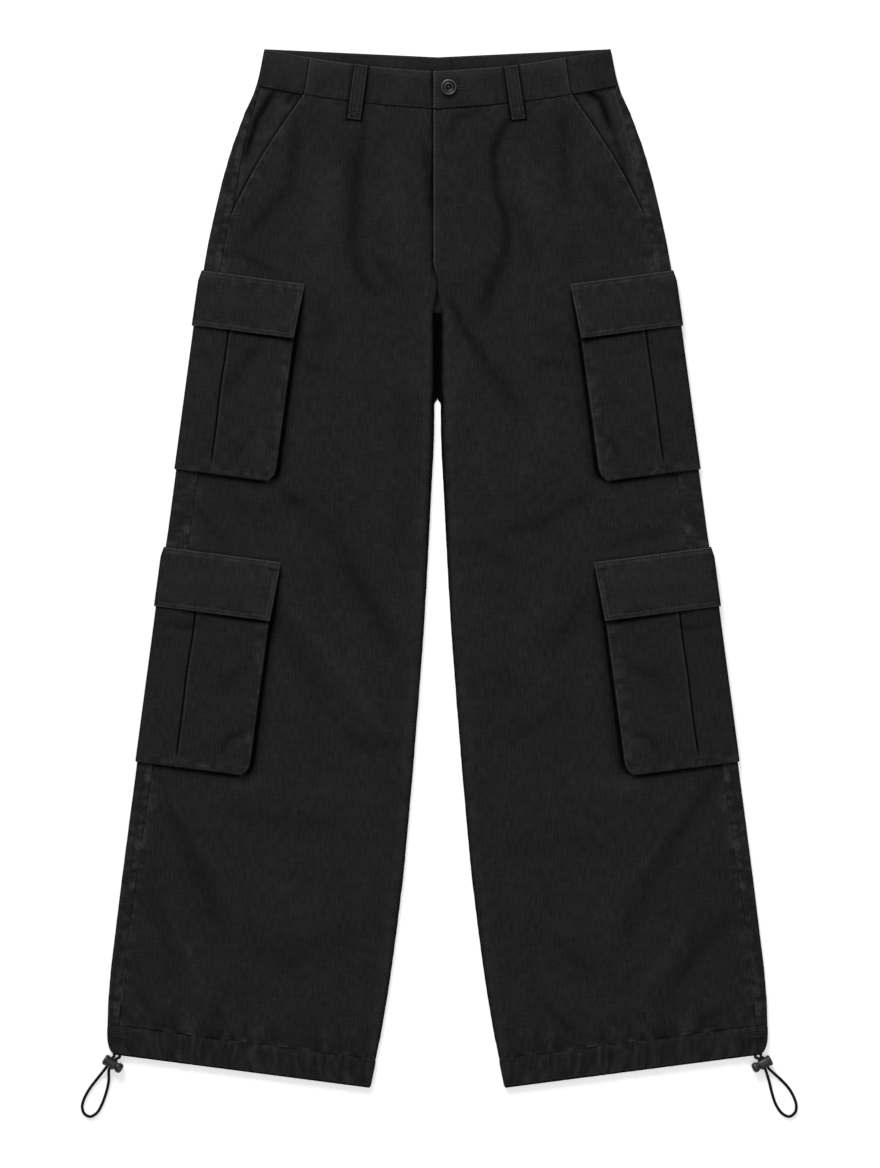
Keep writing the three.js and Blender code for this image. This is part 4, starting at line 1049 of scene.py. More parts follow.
def frontBandSurface(side):
    def surface(lead, down, stand):
        edge = np.minimum(down, band["depth"] - down)
        ends = leadOf(joinInward(down)) + cloth["gap"] / 2
        detail = bandLook["belly"] * smooth(edge, 0.6, 7) + seamRoll(edge, 0.6, 1.1)
        detail = detail + seamRoll(lead - ends, 0.5, 1) - 0.22 * nearLine(edge - bandLook["stitchIn"], 0.8)
        detail = detail + 0.3 * softNoise(lead, down, 26, 61)
        detail = detail + 0.35 * pucker(band["depth"] - down, lead, 63, 8, 6)
        return skin(side, "front", lead, down, stand + band["proud"] + detail, isBand=True)
    return surface


def backBandSurface(lead, down, stand):
    # lead runs from the left join round the back to the right join; past the middle it is the right side
    middle = leadOf(sideHalf(down))
    side = np.where(lead < 0, -1, 1)
    own = middle - np.abs(lead)
    edge = np.minimum(down, band["depth"] - down)
    rolled = seamRoll(edge, 0.3, 1.1)
    wave = 0.25 * softNoise(lead, down, 40, 67) * smooth(np.abs(lead), 20, 60)
    proud = (band["proud"] + wave) * smooth(-own, 0, 6)
    return skin(side, "wrap", -own, down, stand + rolled * smooth(-own, -2, 4) + proud, isPlain=True)


def makeBands():
    places = spread(0.6, band["depth"] - 0.6, bandLook["rowStep"], (0.5, 1.2, 2.0, 3.0))
    surfaces = {}
    for name, side in sides.items():
        past = band["overlap"] if side > 0 else band["underlap"]

        def columnsOf(down, past=past):
            start = leadOf(joinInward(down)) + cloth["gap"] / 2 + 0.6
            end = leadOf(sideHalf(down)) + past - 0.6
            near = np.array([0, 0.004, 0.01, 0.02])
            return mix(start, end, np.concatenate([near, np.linspace(0.035, 0.965, 56), 1 - near[::-1]]))
        surfaces[name] = frontBandSurface(side)

        def wearAndShadeOf(lead, down, points, past=past):
            edge = np.minimum(down, band["depth"] - down)
            end = leadOf(sideHalf(down)) + past - lead
            start = lead - leadOf(joinInward(down))
            wornAndShaded = rubbedAndLitEdge(down, 0.6, 0.12) + rubbedAndLitEdge(start, 0.6, 0.05)
            wornAndShaded = wornAndShaded + rubbedAndLitEdge(end, 0.75, 0.1) * (past < 10)
            wornAndShaded = wornAndShaded + 0.14 * softNoise(lead, down, 14, 65) - 0.1 * nearLine(band["depth"] - down, 1.0)
            wornAndShaded = wornAndShaded + 0.16 * pucker(band["depth"] - down, lead, 63, 8, 6)
            x, height = points[:, 0], cloth["waistTopY"] - points[:, 1]
            # Painted shade on the under band beside the end that laps over it, and beside the belt loops
            wornAndShaded = wornAndShaded - (past > 10) * (1 - smooth(-x, 5.2, 7.0)) + 0.02
            return wornAndShaded - 0.9 * shadeBeside(lead * 0 + 400, down * 0, x, height) * (edge > -1)
        makeSheet(f"waistband.{name}", f"waistband_front_{name}", buildGrid(places, columnsOf),
                  panelPlace(surfaces[name], band["wall"]), slabRim, wearAndShadeOf)

    def columnsOf(down):
        middle = leadOf(sideHalf(down))
        join = middle + leadOf(joinInward(down)) - cloth["gap"] / 2 - 0.6
        lap = mix(join, middle + quarter, np.array([0, 0.01, 0.03, 0.06, *np.linspace(0.1, 0.95, 13)]))
        fold = np.linspace(middle + quarter, middle - quarter, 11)
        under = mix(middle - quarter, 0, np.linspace(0.05, 0.97, 24))
        half = np.concatenate([lap, fold, under])
        return np.concatenate([-half, [0], half[::-1]])

    def wearAndShadeOf(lead, down, points):
        # Painted shade on the band's turn at each side fold
        folded = foldTurnShade(leadOf(sideHalf(down)) - np.abs(lead))
        edges = rubbedAndLitEdge(down, 0.4, 0.1) + 0.25 * nearLine(band["depth"] - down, 1.2) + folded
        edges = edges + 0.12 * softNoise(lead, down, 14, 69)
        return edges + 0.18 * pucker(band["depth"] - down, lead, 73, 8, 6)
    makeSheet("waistband.back", "waistband_back", buildGrid(places, columnsOf),
              panelPlace(backBandSurface, band["wall"]), slabRim, wearAndShadeOf)
    print("waistband made")
    return surfaces


# Belt loops: folded strips, tacked at both ends

loops = {
    "width": 14, "wall": 1.2, "stand": 1.5, "tail": 12, "rim": 0.35, "topTack": 5, "bottomTack": 6.5,
    "tackRise": 0.32, "stitchAcross": 4.4,
    "front": {"left": (76, 83.5, 15.5, 71), "right": (73, 81, 16.5, 71)},
    "back": {"left": -95, "centre": 0, "right": 95},
}


def placeOnFront(x, height):
    x, height = np.asarray(x, float), np.asarray(height, float)
    side = 1 if np.mean(x) >= 0 else -1
    down = height.copy()
    for _ in range(8):
        inward = sideHalf(down) - side * x
        down = height - (rowHeight("front", down, inward) - down)
    return side, leadOf(inward), down


def loopStep(columns, rows, step):
    out, under = {"outer": (0, 0), "inner": (0, 1)}.get(step, step)
    across, along = rimShift(columns, rows, out * loops["wall"]) if out else (columns, rows)
    return across, along, under


def loopPlace(name, side):
    topX, bottomX, topHeight, bottomHeight = loops["front"][name]
    tall = bottomHeight - topHeight

    def place(columns, rows, step):
        across, along, under = loopStep(columns, rows, step)
        t = along / tall
        x = side * mix(topX, bottomX, t)
        height = topHeight + along
        _, lead, down = placeOnFront(x, height)
        base = skin(side, "front", lead, down, 0, isBand=True)
        proud = np.where(down < band["depth"] + 4, band["proud"] + bandLook["belly"], 0)
        rise = loops["stand"] * smooth(np.minimum(t, 1 - t), 0, 0.14)
        rise = rise + 0.35 * softNoise(along, across, 17, 71 + side)
        ribs = 0.3 * nearLine(np.abs(across) - 5.6, 0.8)
        ribs = ribs - 0.25 * nearLine(np.abs(across) - loops["stitchAcross"], 0.7)
        tack = -0.7 * nearLine(along - loops["topTack"], 1.5)
        tack = tack - 0.7 * nearLine(tall - loops["bottomTack"] - along, 1.5)
        z = base[..., 2] + cloth["gap"] + proud + rise + (ribs + tack + loops["wall"]) * (1 - under)
        return np.stack([x + across, base[..., 1] + side * across * cloth["rowSlope"], z], -1)
    return place


def makeLoops():
    rim = loops["rim"]
    half = loops["width"] / 2 - rim
    for name, side in sides.items():
        _, _, topHeight, bottomHeight = loops["front"][name]
        tall = bottomHeight - topHeight
        near = np.array([0, 0.4, 1])
        across = np.concatenate([near - half, np.linspace(-half + 1.7, half - 1.7, 13), half - near[::-1]])
        grid = np.meshgrid(across, spread(rim, tall - rim, 1.4, (0.5, 1.1)))

        def wearAndShadeOf(c, r, points, tall=tall):
            edge = np.minimum(loops["width"] / 2 - np.abs(c), np.minimum(r, tall - r))
            tack = nearLine(r - loops["topTack"], 1.0) + nearLine(tall - loops["bottomTack"] - r, 1.0)
            # Painted highlight on the loop's raised edges and its middle, with painted shade along its stitch
            # rows, at the tacks and round its outline
            lines = 0.5 * nearLine(edge - 1.2, 0.8) - 0.4 * nearLine(edge - 2.9, 0.7)
            lines = lines + 0.3 * nearLine(edge - 4.5, 1.0) + 0.12 * softNoise(c * 2, r, 7, 73)
            return lines - 0.5 * tack - 0.6 * nearLine(edge, 0.6)
        makeSheet(f"beltLoop.{name}", f"belt_loop_front_{name}", grid, loopPlace(name, side), slabRim, wearAndShadeOf)
    for name, middle in loops["back"].items():
        top = rowHeight("back", 0, sideHalf(0) - abs(middle)) + 1
        bottom = rowHeight("back", band["depth"], sideHalf(band["depth"]) - abs(middle)) + loops["tail"]

        def place(columns, rows, step, middle=middle):
            across, along, under = loopStep(columns, rows, step)
            z = np.full(across.shape, loops["wall"] * under)
            return np.stack([middle + across, cloth["waistTopY"] - along, z], -1)
        grid = np.meshgrid(np.linspace(-half, half, 9), spread(top + rim, bottom - rim, 3))
        makeSheet(f"beltLoop.back.{name}", f"belt_loop_back_{name}", grid, place, slabRim)
    print("belt loops made")


# Cargo pockets: a bellows tray on the side of each leg, round the side fold, with a pleat

pocketLook = {
    "wall": 1.0, "pleatDepth": 2.3, "rowStep": 2.2, "stitch": (2.4, 8.2), "pleatStitch": 3.4, "pleatTack": 9,
    "rim": [(0.5, 0.9), (0.95, 0.72), (1.1, 0.5), (0.7, 0.3), (0.2, 0.12), (0.05, 0), (-0.6, 0), (-1.0, 0.1)],
}


def pocketStand(pocket, inward, down):
    full = np.interp(inward, [row[0] for row in pocketStandRows], [row[1] for row in pocketStandRows])
    top = pocket["flapTop"] + pocketInset
    return mix(cloth["layer"], full, smooth(down, top, top + pocketRise))


def pocketEdge(pocket, down):
    t = ramp(down, pocket["bottom"] - pocketCut["down"], pocket["bottom"])
    return pocket["edge"] - pocketCut["inward"] * (1 - np.sqrt(np.maximum(0, 1 - t * t)))


def pocketSurface(level, name, seed):
    side, pocket = sides[name], sidePockets[level]

    def surface(lead, down, share):
        inward = frontInward(lead)
        edge = leadOf(pocketEdge(pocket, down))
        fromEdge = edge - lead
        fromBottom = pocket["bottom"] - down
        stand = pocketStand(pocket, inward, down)
        isFront = smooth(lead, 2, 12)
        near = np.minimum(fromEdge, fromBottom)
        roll = seamRoll(near, 1.1, 1.6)
        sag = 0.9 * nearLine(inward - 66, 26) * smooth(fromBottom, 2, 30) * (1 - smooth(fromBottom, 60, 130))
        pleat = lead - leadOf(pocket["pleat"]) - 0.6 * softNoise(down, 0, 40, seed)
        opened = smooth(down, pocket["flapTop"] + pocketInset + pocketRise, pocket["flapBottom"]) * smooth(
            fromBottom, 7, 22)
        dip = -pocketLook["pleatDepth"] * nearLine(pleat, 0.8) + 0.5 * nearLine(pleat - 2.2, 1.5)
        dip = dip - 0.4 * nearLine(pleat + 3, 2.5)
        detail = sag + dip * opened + 0.45 * softNoise(lead, down, 38, seed + 1)
        detail = detail + 0.22 * softNoise(lead, down, 15, seed + 2)
        detail = detail + 0.45 * pucker(fromBottom - 5, lead, seed + 3, 9, 8)
        detail = detail + 0.4 * pucker(fromEdge - 5, down, seed + 4, 8, 9)
        x = side * (sideHalf(down) - inward)
        creases = foldSum(pocketFolds[level, name], x, rowHeight("front", down, inward))
        detail = detail + relief["pocketFolds"] * creases * smooth(near, 1, 6)
        stand = stand + (roll + detail) * isFront
        if share == "inner":
            stand = stand - pocketLook["wall"]
        elif share != "outer":
            stand = mix(cloth["gap"] * (lead <= 0), stand, share)
        return skin(side, "front", lead, down, stand, isPlain=True)
    return surface


def pocketPlace(level, name, seed):
    surface = pocketSurface(level, name, seed)

    def place(columns, rows, step):
        if isinstance(step, str):
            return surface(columns, rows, step)
        out, share = step
        movedColumns, movedRows = rimShift(columns, rows, out)
        return surface(movedColumns, movedRows, share)
    return place


def wrapLine(frontEdge, backEdge, pleat=None, rim=1.0):
    edge = leadOf(frontEdge) - rim
    near = [edge - d for d in (0, 0.5, 1.1, 1.9, 3, 4.5, 6.5)]
    places = list(np.linspace(leadOf(8), edge - 9, 34)) + near
    if pleat is not None:
        places += [leadOf(pleat) + d for d in (-3.2, -1.8, -1.1, -0.7, -0.35, 0, 0.35, 0.7, 1.1, 1.8, 3.2)]
    fold = list(np.linspace(-quarter, quarter, 13))
    under = list(-mix(quarter, leadOf(backEdge) - rim, np.linspace(0.12, 1, 9)))
    return np.array(sorted(places + fold + under))


def makePockets():
    made = {}
    for level, pocket in sidePockets.items():
        top = pocket["flapTop"] + pocketInset
        places = spread(top + 1, pocket["bottom"] - 1, pocketLook["rowStep"], (0.5, 1.1, 2, 3.2, 5))
        for name, side in sides.items():
            def columnsOf(down, pocket=pocket):
                return wrapLine(pocketEdge(pocket, down), pocketBack, pocket["pleat"])
            seed = 100 + 20 * (level == "lower") + 7 * side
            made[level, name] = pocketPlace(level, name, seed)

            def wearAndShadeOf(lead, down, points, level=level, name=name, pocket=pocket, seed=seed):
                x, height = points[:, 0], cloth["waistTopY"] - points[:, 1]
                fromBottom = pocket["bottom"] - down
                edge = np.minimum(leadOf(pocketEdge(pocket, down)) - lead, fromBottom)
                pleat = lead - leadOf(pocket["pleat"]) - 0.6 * softNoise(down, 0, 40, seed)
                opened = smooth(fromBottom, 5, 22)
                wornAndShaded = rubbedAndLitEdge(edge, 0.7, 0.08)
                wornAndShaded = wornAndShaded + 0.34 * softNoise(lead, down, 5, seed + 5) * nearLine(edge - 5, 7)
                # Painted shade in the pleat's groove and painted highlight on its lip
                wornAndShaded = wornAndShaded + opened * (0.35 * nearLine(pleat - 2.0, 0.9) - 1.1 * nearLine(pleat, 0.75))
                # Painted shadow of the flap on the pocket below it, wider towards the inner edge
                reach = mix(1.8, 5.2, ramp(lead, 10, 95))
                under = 1 - smooth(down - pocket["flapBottom"] - 0.2, 0.25 * reach, reach)
                sideways = (lead > 2) * mix(0.75, 1, ramp(lead, 10, 60))
                # Painted shade and highlight along the pocket's creases, and painted shade on the turn of the
                # side fold
                creases = np.clip(foldSum(pocketFolds[level, name], x, height), -1.2, 0.35)
                return wornAndShaded - under * sideways + relief["tone"] * creases + foldTurnShade(lead)
            makeSheet(f"cargoPocket.{level}.{name}", f"cargo_pocket_{level}_{name}",
                      buildGrid(places, columnsOf), made[level, name], pocketLook["rim"], wearAndShadeOf)
    print("cargo pockets made")
    return made


# Pocket flaps: doubled cloth, which hangs free at its lower edge

flapLook = {
    "wall": 1.5, "curl": 1.6, "rowStep": 2.0, "lean": 3.0, "stitch": ((2.0, 2.0), (7.4, 6.4)),
    "tackRows": (2.6, 6.6), "tackLength": (2, 11),
}


def flapEdgeAt(pocket, down):
    return pocket["flapEdge"] + 1.5 - flapLook["lean"] * ramp(down, pocket["flapTop"], pocket["flapBottom"])


def flapSurface(side, pocket, seed):
    def surface(lead, down, stand):
        inward = frontInward(lead)
        isFront = smooth(lead, 2, 12)
        over = pocketStand(pocket, inward, down) + cloth["layer"]
        base = mix(cloth["wall"] + 0.8, over, ramp(down, pocket["flapTop"], pocket["flapTop"] + pocketInset))
        fromTop = down - pocket["flapTop"]
        fromBottom = pocket["flapBottom"] - down
        fromEdge = leadOf(flapEdgeAt(pocket, down)) - lead
        edge = np.minimum(fromBottom, fromEdge)
        roll = seamRoll(edge, 0.5, 1) + seamRoll(fromTop, 0.5, 1)
        stitchLine = -0.25 * (nearLine(edge - 6, 0.9) + nearLine(fromTop - 5.5, 0.9))
        curl = flapLook["curl"] * smooth(lead, 20, 95) * (1 - smooth(fromBottom, 0, 34))
        curl = curl + 0.8 * (1 - smooth(fromEdge, 0, 26)) * (1 - smooth(fromBottom, 0, 26))
        wave = 0.5 * softNoise(lead, down, 34, seed) * smooth(fromTop, 4, 24)
        wave = wave + 0.2 * softNoise(lead, down, 13, seed + 1)
        detail = roll + stitchLine + curl + wave + 0.25 * pucker(edge - 5, lead + down, seed + 2, 6, 7)
        return skin(side, "front", lead, down, stand + base + detail * isFront, isPlain=True)
    return surface


def makeFlaps():
    made = {}
    for level, pocket in sidePockets.items():
        top, low = pocket["flapTop"] + 0.5, pocket["flapBottom"] - 0.5
        places = spread(top, low, flapLook["rowStep"], (0.5, 1.1, 2, 3))
        for name, side in sides.items():
            def columnsOf(down, pocket=pocket):
                return wrapLine(flapEdgeAt(pocket, down), pocketBack, rim=0.5)
            seed = 200 + 20 * (level == "lower") + 7 * side
            made[level, name] = flapSurface(side, pocket, seed)

            def wearAndShadeOf(lead, down, points, pocket=pocket):
                corner, fromTop = leadOf(flapEdgeAt(pocket, down)) - lead, down - pocket["flapTop"]
                edge = np.minimum(np.minimum(corner, pocket["flapBottom"] - down), fromTop)
                wornAndShaded = rubbedAndLitEdge(edge, 0.65, 0.14)
                wornAndShaded = wornAndShaded + 0.24 * softNoise(lead, down, 5, 207) * nearLine(edge - 5, 6)
                tack = nearLine(fromTop - 8.6, 1.0) * (corner < 12) * (lead > 20)
                wornAndShaded = wornAndShaded + 0.14 * nearLine(edge - 4.0, 0.9) - 0.3 * nearLine(edge - 2.4, 0.6) - 0.5 * tack
                # The last term is painted shade on the turn of the side fold
                return wornAndShaded - 0.2 * nearLine(edge - 7, 0.7) + 0.04 + foldTurnShade(lead)
            makeSheet(f"pocketFlap.{level}.{name}", f"pocket_flap_{level}_{name}",
                      buildGrid(places, columnsOf), panelPlace(made[level, name], flapLook["wall"]), slabRim,
                      wearAndShadeOf)
    print("pocket flaps made")
    return made


# Hems: a casing all round the leg's end, gathered by its cord

hemLook = {
    "rowStep": 1.5, "gathers": 22, "gather": 1.35, "proud": 1.0, "columns": 190, "patch": (7, 27, 12),
    "patchPitch": 3, "stitchTop": 3.2, "stitchBottom": 3.0,
}


def hemCentre(down):
    return innerReach("front", down) - foldRadius


def gatherWave(side, share, down):
    count = hemLook["gathers"]
    drift = 0.35 * np.sin(2.1 * count * share + 3 * side)
    drift = drift + 0.02 * (down - hem["top"]) * np.sin(5 * share + side)
    phase = 2 * math.pi * (count * share + drift)
    depth = (0.62 + 0.38 * np.sin(9.7 * share + 2 * side)) * mix(1, 0.6, share)
    fine = 0.3 * np.sin(2.3 * phase + 1.1)
    return depth * (np.sin(phase) + fine)


def hemSurface(side):
    def surface(lead, down, stand):
        centre = hemCentre(down)
        inner = leadOf(centre)
        isTop = (lead > -quarter) & (lead < inner + math.pi * foldRadius)
        share = np.clip(lead / np.maximum(inner, 1), 0, 1)
        fromTop, fromBottom = down - hem["top"], hem["bottom"] - down
        calm = smooth(share, 0.0, 0.04) * (1 - smooth(share, 0.95, 1.0))
        strength = mix(0.45, 1, smooth(fromTop, 0, 8)) * mix(0.55, 1, smooth(fromBottom, 0, 7))
        puff = hemLook["proud"] * smooth(fromTop, 0, 5) * smooth(fromBottom, -0.5, 5)
        groove = -0.35 * nearLine(fromTop - hemLook["stitchTop"], 1.1)
        gathers = calm * strength * hemLook["gather"] * gatherWave(side, share, down)
        detail = puff + groove + seamRoll(fromTop, 0.5, 1) + gathers
        onTop = isTop * smooth(lead, -1, 4) * (1 - smooth(lead, inner + 2, inner + 7))
        return skin(side, "front", lead, down, stand + detail * onTop, centre, isPlain=True)
    return surface


def makeHems():
    made = {}
    places = spread(hem["top"] + 0.5, hem["bottom"] - 0.5, hemLook["rowStep"], (0.5, 1.2, 2.2))
    for name, side in sides.items():
        def columnsOf(down):
            centre = hemCentre(down)
            inner = leadOf(centre)
            start = np.linspace(-quarter, quarter, 13)
            top = mix(quarter, inner, np.linspace(0, 1, hemLook["columns"])[1:])
            around = inner + np.linspace(0, math.pi * foldRadius, 13)[1:]
            under = -mix(inner, quarter, np.linspace(0, 1, 30)[1:-1])
            return np.concatenate([start, top, around, under])
        columns, rows = buildGrid(places, columnsOf)
        surface = hemSurface(side)

        def wearAndShadeOf(lead, down, points):
            fromTop, fromBottom = down - hem["top"], hem["bottom"] - down
            share = np.clip(lead / np.maximum(leadOf(hemCentre(down)), 1), 0, 1)
            # Painted light and shade that follow the gathers' ridges and troughs
            gathers = 0.14 * gatherWave(side, share, down) + 0.26 * softNoise(lead, down * 0.3, 4, 83) - 0.03
            broken = 0.1 + 0.4 * softNoise(lead, down * 0.2, 6, 85)
            seam = 0.3 * softNoise(lead, 0, 5, 87) * nearLine(fromTop, 1.5)
            seam = seam - broken * nearLine(fromTop - 3, 1.4)
            # Painted highlight and shade stripes along the tack rows of the patch
            start, end, tall = hemLook["patch"]
            patch = 0.3 * (lead > start) * (lead < end) * (fromTop < tall)
            patch = patch * np.cos(fromTop * 2 * math.pi / hemLook["patchPitch"])
            # Painted shade along the casing's bottom edge, and on the turn of the side fold
            under = 0.9 * (1 - smooth(fromBottom, 0.8, 2.0)) * (lead > -1)
            shown = 0.12 * nearLine(fromBottom - 3.4, 1.5) - under + seam + patch
            return shown + gathers * (lead > 0) + foldTurnShade(lead)
        piece = clothShell(f"hem.{name}", columns, rows, panelPlace(surface, hem["wall"], True), slabRim,
                           wearAndShadeOf, isRing=True, rimShade=-0.1)
        finishPiece(piece, "cloth", nodes=[f"hem_{name}"])
        # The cut is as long as the gathered cloth would be when pulled straight
        ring = surface(columns[5:6], rows[5:6], 0)[0]
        wide = float(np.sum(np.linalg.norm(np.diff(ring, axis=0), axis=1))) * mm
        made[name] = surface
    print("hems made")
    return made


fronts = makeFronts()
backs = makeBacks()
makeFacings()
bandSurfaces = makeBands()
makeLoops()
pocketPlaces = makePockets()
flapSurfaces = makeFlaps()
hemSurfaces = makeHems()


# Drawcords, with their route in the frame's own x and y; each leaves the hem, goes through its
# lock, round in a loose loop and back

cordLook = {
    "diameter": 2.9, "sides": 14, "rings": 220, "inHem": 3.0, "atLock": 1.2, "restGap": 0.12, "exitRise": 1.3,
    "leave": (0, -1.2, 0.4), "throughLock": (-4.8, 0, 6),
}
cordRest = cordLook["diameter"] / 2 + cordLook["restGap"]
exitHeight = foldRadius + cordLook["exitRise"]
lock = {
    "length": 21, "barrel": 11, "bore": 8.6, "stem": 8, "head": 10, "endWall": 1.2, "frontWall": 1.3,
    "travel": 2.2, "slotHeight": 4.1, "slotSpare": 0.45, "slotRound": 0.45, "strandSpare": 0.1,
    "strandPitch": 3.3, "segments": 56, "sharpAngle": 35,
}
cordRoutes = {
    "left": {
        "lock": (-324, -495.2), "axis": -32, "exits": (-323, -317.5),
        "loop": [
            (-335.6, -504.6), (-341.9, -512.4), (-348.4, -521.2), (-353.6, -531.2), (-355.2, -538.6),
            (-353, -545), (-347.2, -548), (-340.6, -544.4), (-335.4, -535.6), (-331.4, -524.6),
            (-328.6, -512.6),
        ],
    },
    "right": {
        "lock": (324, -495.2), "axis": 207, "exits": (323, 317.5),
        "loop": [
            (336.6, -505), (344.4, -512.2), (351.4, -520), (356.2, -528.5), (358.6, -536.5), (357.6, -543.6),
            (351.9, -547.9), (345, -545.2), (338.6, -536.6), (334.6, -525.4), (331.4, -512.6),
        ],
    },
}

# Places along the lock's axis, from its middle
barrelBack = -lock["length"] / 2
boreBack = barrelBack + lock["endWall"]
plungerBack = boreBack + lock["travel"] + cloth["gap"]
strandHalf = lock["strandPitch"] / 2 + cordLook["diameter"] / 2
strandMiddle = plungerBack + lock["endWall"] + lock["strandSpare"] + strandHalf
barrelFront = strandMiddle + strandHalf + lock["slotSpare"] + lock["frontWall"]
headBack = barrelFront + lock["travel"] + cloth["gap"]
headFront = lock["length"] / 2


def lockAxes(name):
    route = cordRoutes[name]
    angle = math.radians(route["axis"])
    axis = np.array([math.cos(angle), math.sin(angle), 0])
    along = sides[name] * np.array([-math.sin(angle), math.cos(angle), 0])
    if along[1] > 0:
        along = -along
    return axis, along, np.array([*route["lock"], lock["barrel"] / 2])


# Centripetal curve through the points, at even steps along it
def smoothRoute(points, count):
    points = np.array(points, float)
    points = np.vstack([2 * points[0] - points[1], points, 2 * points[-1] - points[-2]])
    parts = []
    for p0, p1, p2, p3 in zip(points[:-3], points[1:-2], points[2:-1], points[3:]):
        d0, d1, d2 = (np.linalg.norm(b - a) ** 0.5 for a, b in ((p0, p1), (p1, p2), (p2, p3)))
        m1 = ((p1 - p0) / d0 - (p2 - p0) / (d0 + d1) + (p2 - p1) / d1) * d1
        m2 = ((p2 - p1) / d1 - (p3 - p1) / (d1 + d2) + (p3 - p2) / d2) * d1
        t = np.linspace(0, 1, 60, endpoint=False)[:, None]
        square, cube = 3 * (p2 - p1) - 2 * m1 - m2, 2 * (p1 - p2) + m1 + m2
        parts.append(p1 + m1 * t + square * t ** 2 + cube * t ** 3)
    line = np.vstack(parts + [points[-2][None]])
    run = np.concatenate([[0], np.cumsum(np.linalg.norm(np.diff(line, axis=0), axis=1))])
    even = np.linspace(0, run[-1], count)
    return np.stack([np.interp(even, run, line[:, i]) for i in range(3)], 1), run[-1]


def cordRoute(name):
    route = cordRoutes[name]
    axis, along, middle = lockAxes(name)
    hemEdge = hem["bottom"] + 2 * cloth["gap"]
    starts = []
    for x in route["exits"]:
        height = rowHeight("front", hemEdge, sideHalf(hem["bottom"]) - abs(x))
        starts.append(np.array([x, cloth["waistTopY"] - float(height), exitHeight]))
    leaves = [start + np.array(cordLook["leave"]) for start in starts]
    shifts = [strandMiddle - lock["strandPitch"] / 2, strandMiddle + lock["strandPitch"] / 2]
    through = [[middle + axis * shift + along * way for way in cordLook["throughLock"]] for shift in shifts]
    loop = [np.array([x, y, cordRest]) for x, y in route["loop"]]
    for i in (0, -1):
        loop[i][2] += cordLook["atLock"]
    inside = [start + np.array([0, cordLook["inHem"], -0.3]) for start in starts]
    ends = [[inside[i], starts[i], leaves[i], *through[i]] for i in (0, 1)]
    return [*ends[0], *loop, *ends[1][::-1]]


def makeCords():
    around = cordLook["sides"]
    for name in sides:
        line, length = smoothRoute(cordRoute(name), cordLook["rings"])
        tangent = np.gradient(line, axis=0)
        tangent /= np.linalg.norm(tangent, axis=1)[:, None]
        normal = np.zeros_like(line)
        normal[0] = np.cross(tangent[0], [1, 0, 0])
        for i in range(1, len(line)):
            normal[i] = normal[i - 1] - tangent[i] * np.dot(normal[i - 1], tangent[i])
            normal[i] /= np.linalg.norm(normal[i])
        normal[0] /= np.linalg.norm(normal[0])
        other = np.cross(tangent, normal)
        turn = np.linspace(0, 2 * math.pi, around, endpoint=False)
        radius = cordLook["diameter"] / 2
        rings = line[:, None] + radius * (
            np.cos(turn)[None, :, None] * normal[:, None] + np.sin(turn)[None, :, None] * other[:, None])
        points = rings.reshape(-1, 3)
        grid = np.arange(len(points)).reshape(len(line), around)
        beside = np.roll(grid, -1, axis=1)
        faces = np.stack([grid[:-1], beside[:-1], beside[1:], grid[1:]], -1).reshape(-1, 4).tolist()
        faces += [grid[0][::-1].tolist(), grid[-1].tolist()]
        mesh = bpy.data.meshes.new(f"drawcord.{name}")
        mesh.from_pydata((points * mm).tolist(), [], faces)
        piece = addObject(f"drawcord.{name}", mesh)
        uv = mesh.uv_layers.new(name="cut")
        step = length / (len(line) - 1) * mm
        width = math.pi * cordLook["diameter"] / around * mm
        for polygon in mesh.polygons:
            isWall = polygon.index < len(faces) - 2
            closes = isWall and any(v % around == around - 1 for v in polygon.vertices)
            for loopIndex, vertex in zip(polygon.loop_indices, polygon.vertices):
                ring, spot = divmod(vertex, around)
                uv.data[loopIndex].uv = ((around if closes and spot == 0 else spot) * width, ring * step)
        outward(mesh)
        finishPiece(piece, "cord", nodes=[f"drawcord_{name}"])
        print(f"  drawcord.{name}: {length:.0f} mm")
    print("drawcords made")


# Turned shapes: a profile of (radius, along) swung round its axis, closed at its poles

def turnedMesh(name, profile, segments):
    work = bmesh.new()
    wearAndShade = work.verts.layers.float.new("wearAndShade")
    rings = []
    for radius, along, *rub in profile:
        count = segments if radius > 1e-6 else 1
        angles = [2 * math.pi * i / segments for i in range(count)]
        rings.append([])
        for a in angles:
            corner = work.verts.new(Vector((radius * math.cos(a), along, radius * math.sin(a))) * mm)
            corner[wearAndShade] = rub[0] if rub else 0
            rings[-1].append(corner)
    for first, second in zip(rings, rings[1:]):
        for i in range(segments):
            j = (i + 1) % segments
            corners = [first[i % len(first)], first[j % len(first)]]
            corners += [second[j % len(second)], second[i % len(second)]]
            kept = list(dict.fromkeys(corners))
            if len(kept) > 2:
                work.faces.new(kept)
    bmesh.ops.recalc_face_normals(work, faces=work.faces)
    mesh = bpy.data.meshes.new(name)
    work.to_mesh(mesh)
    work.free()
    outward(mesh)
    return mesh


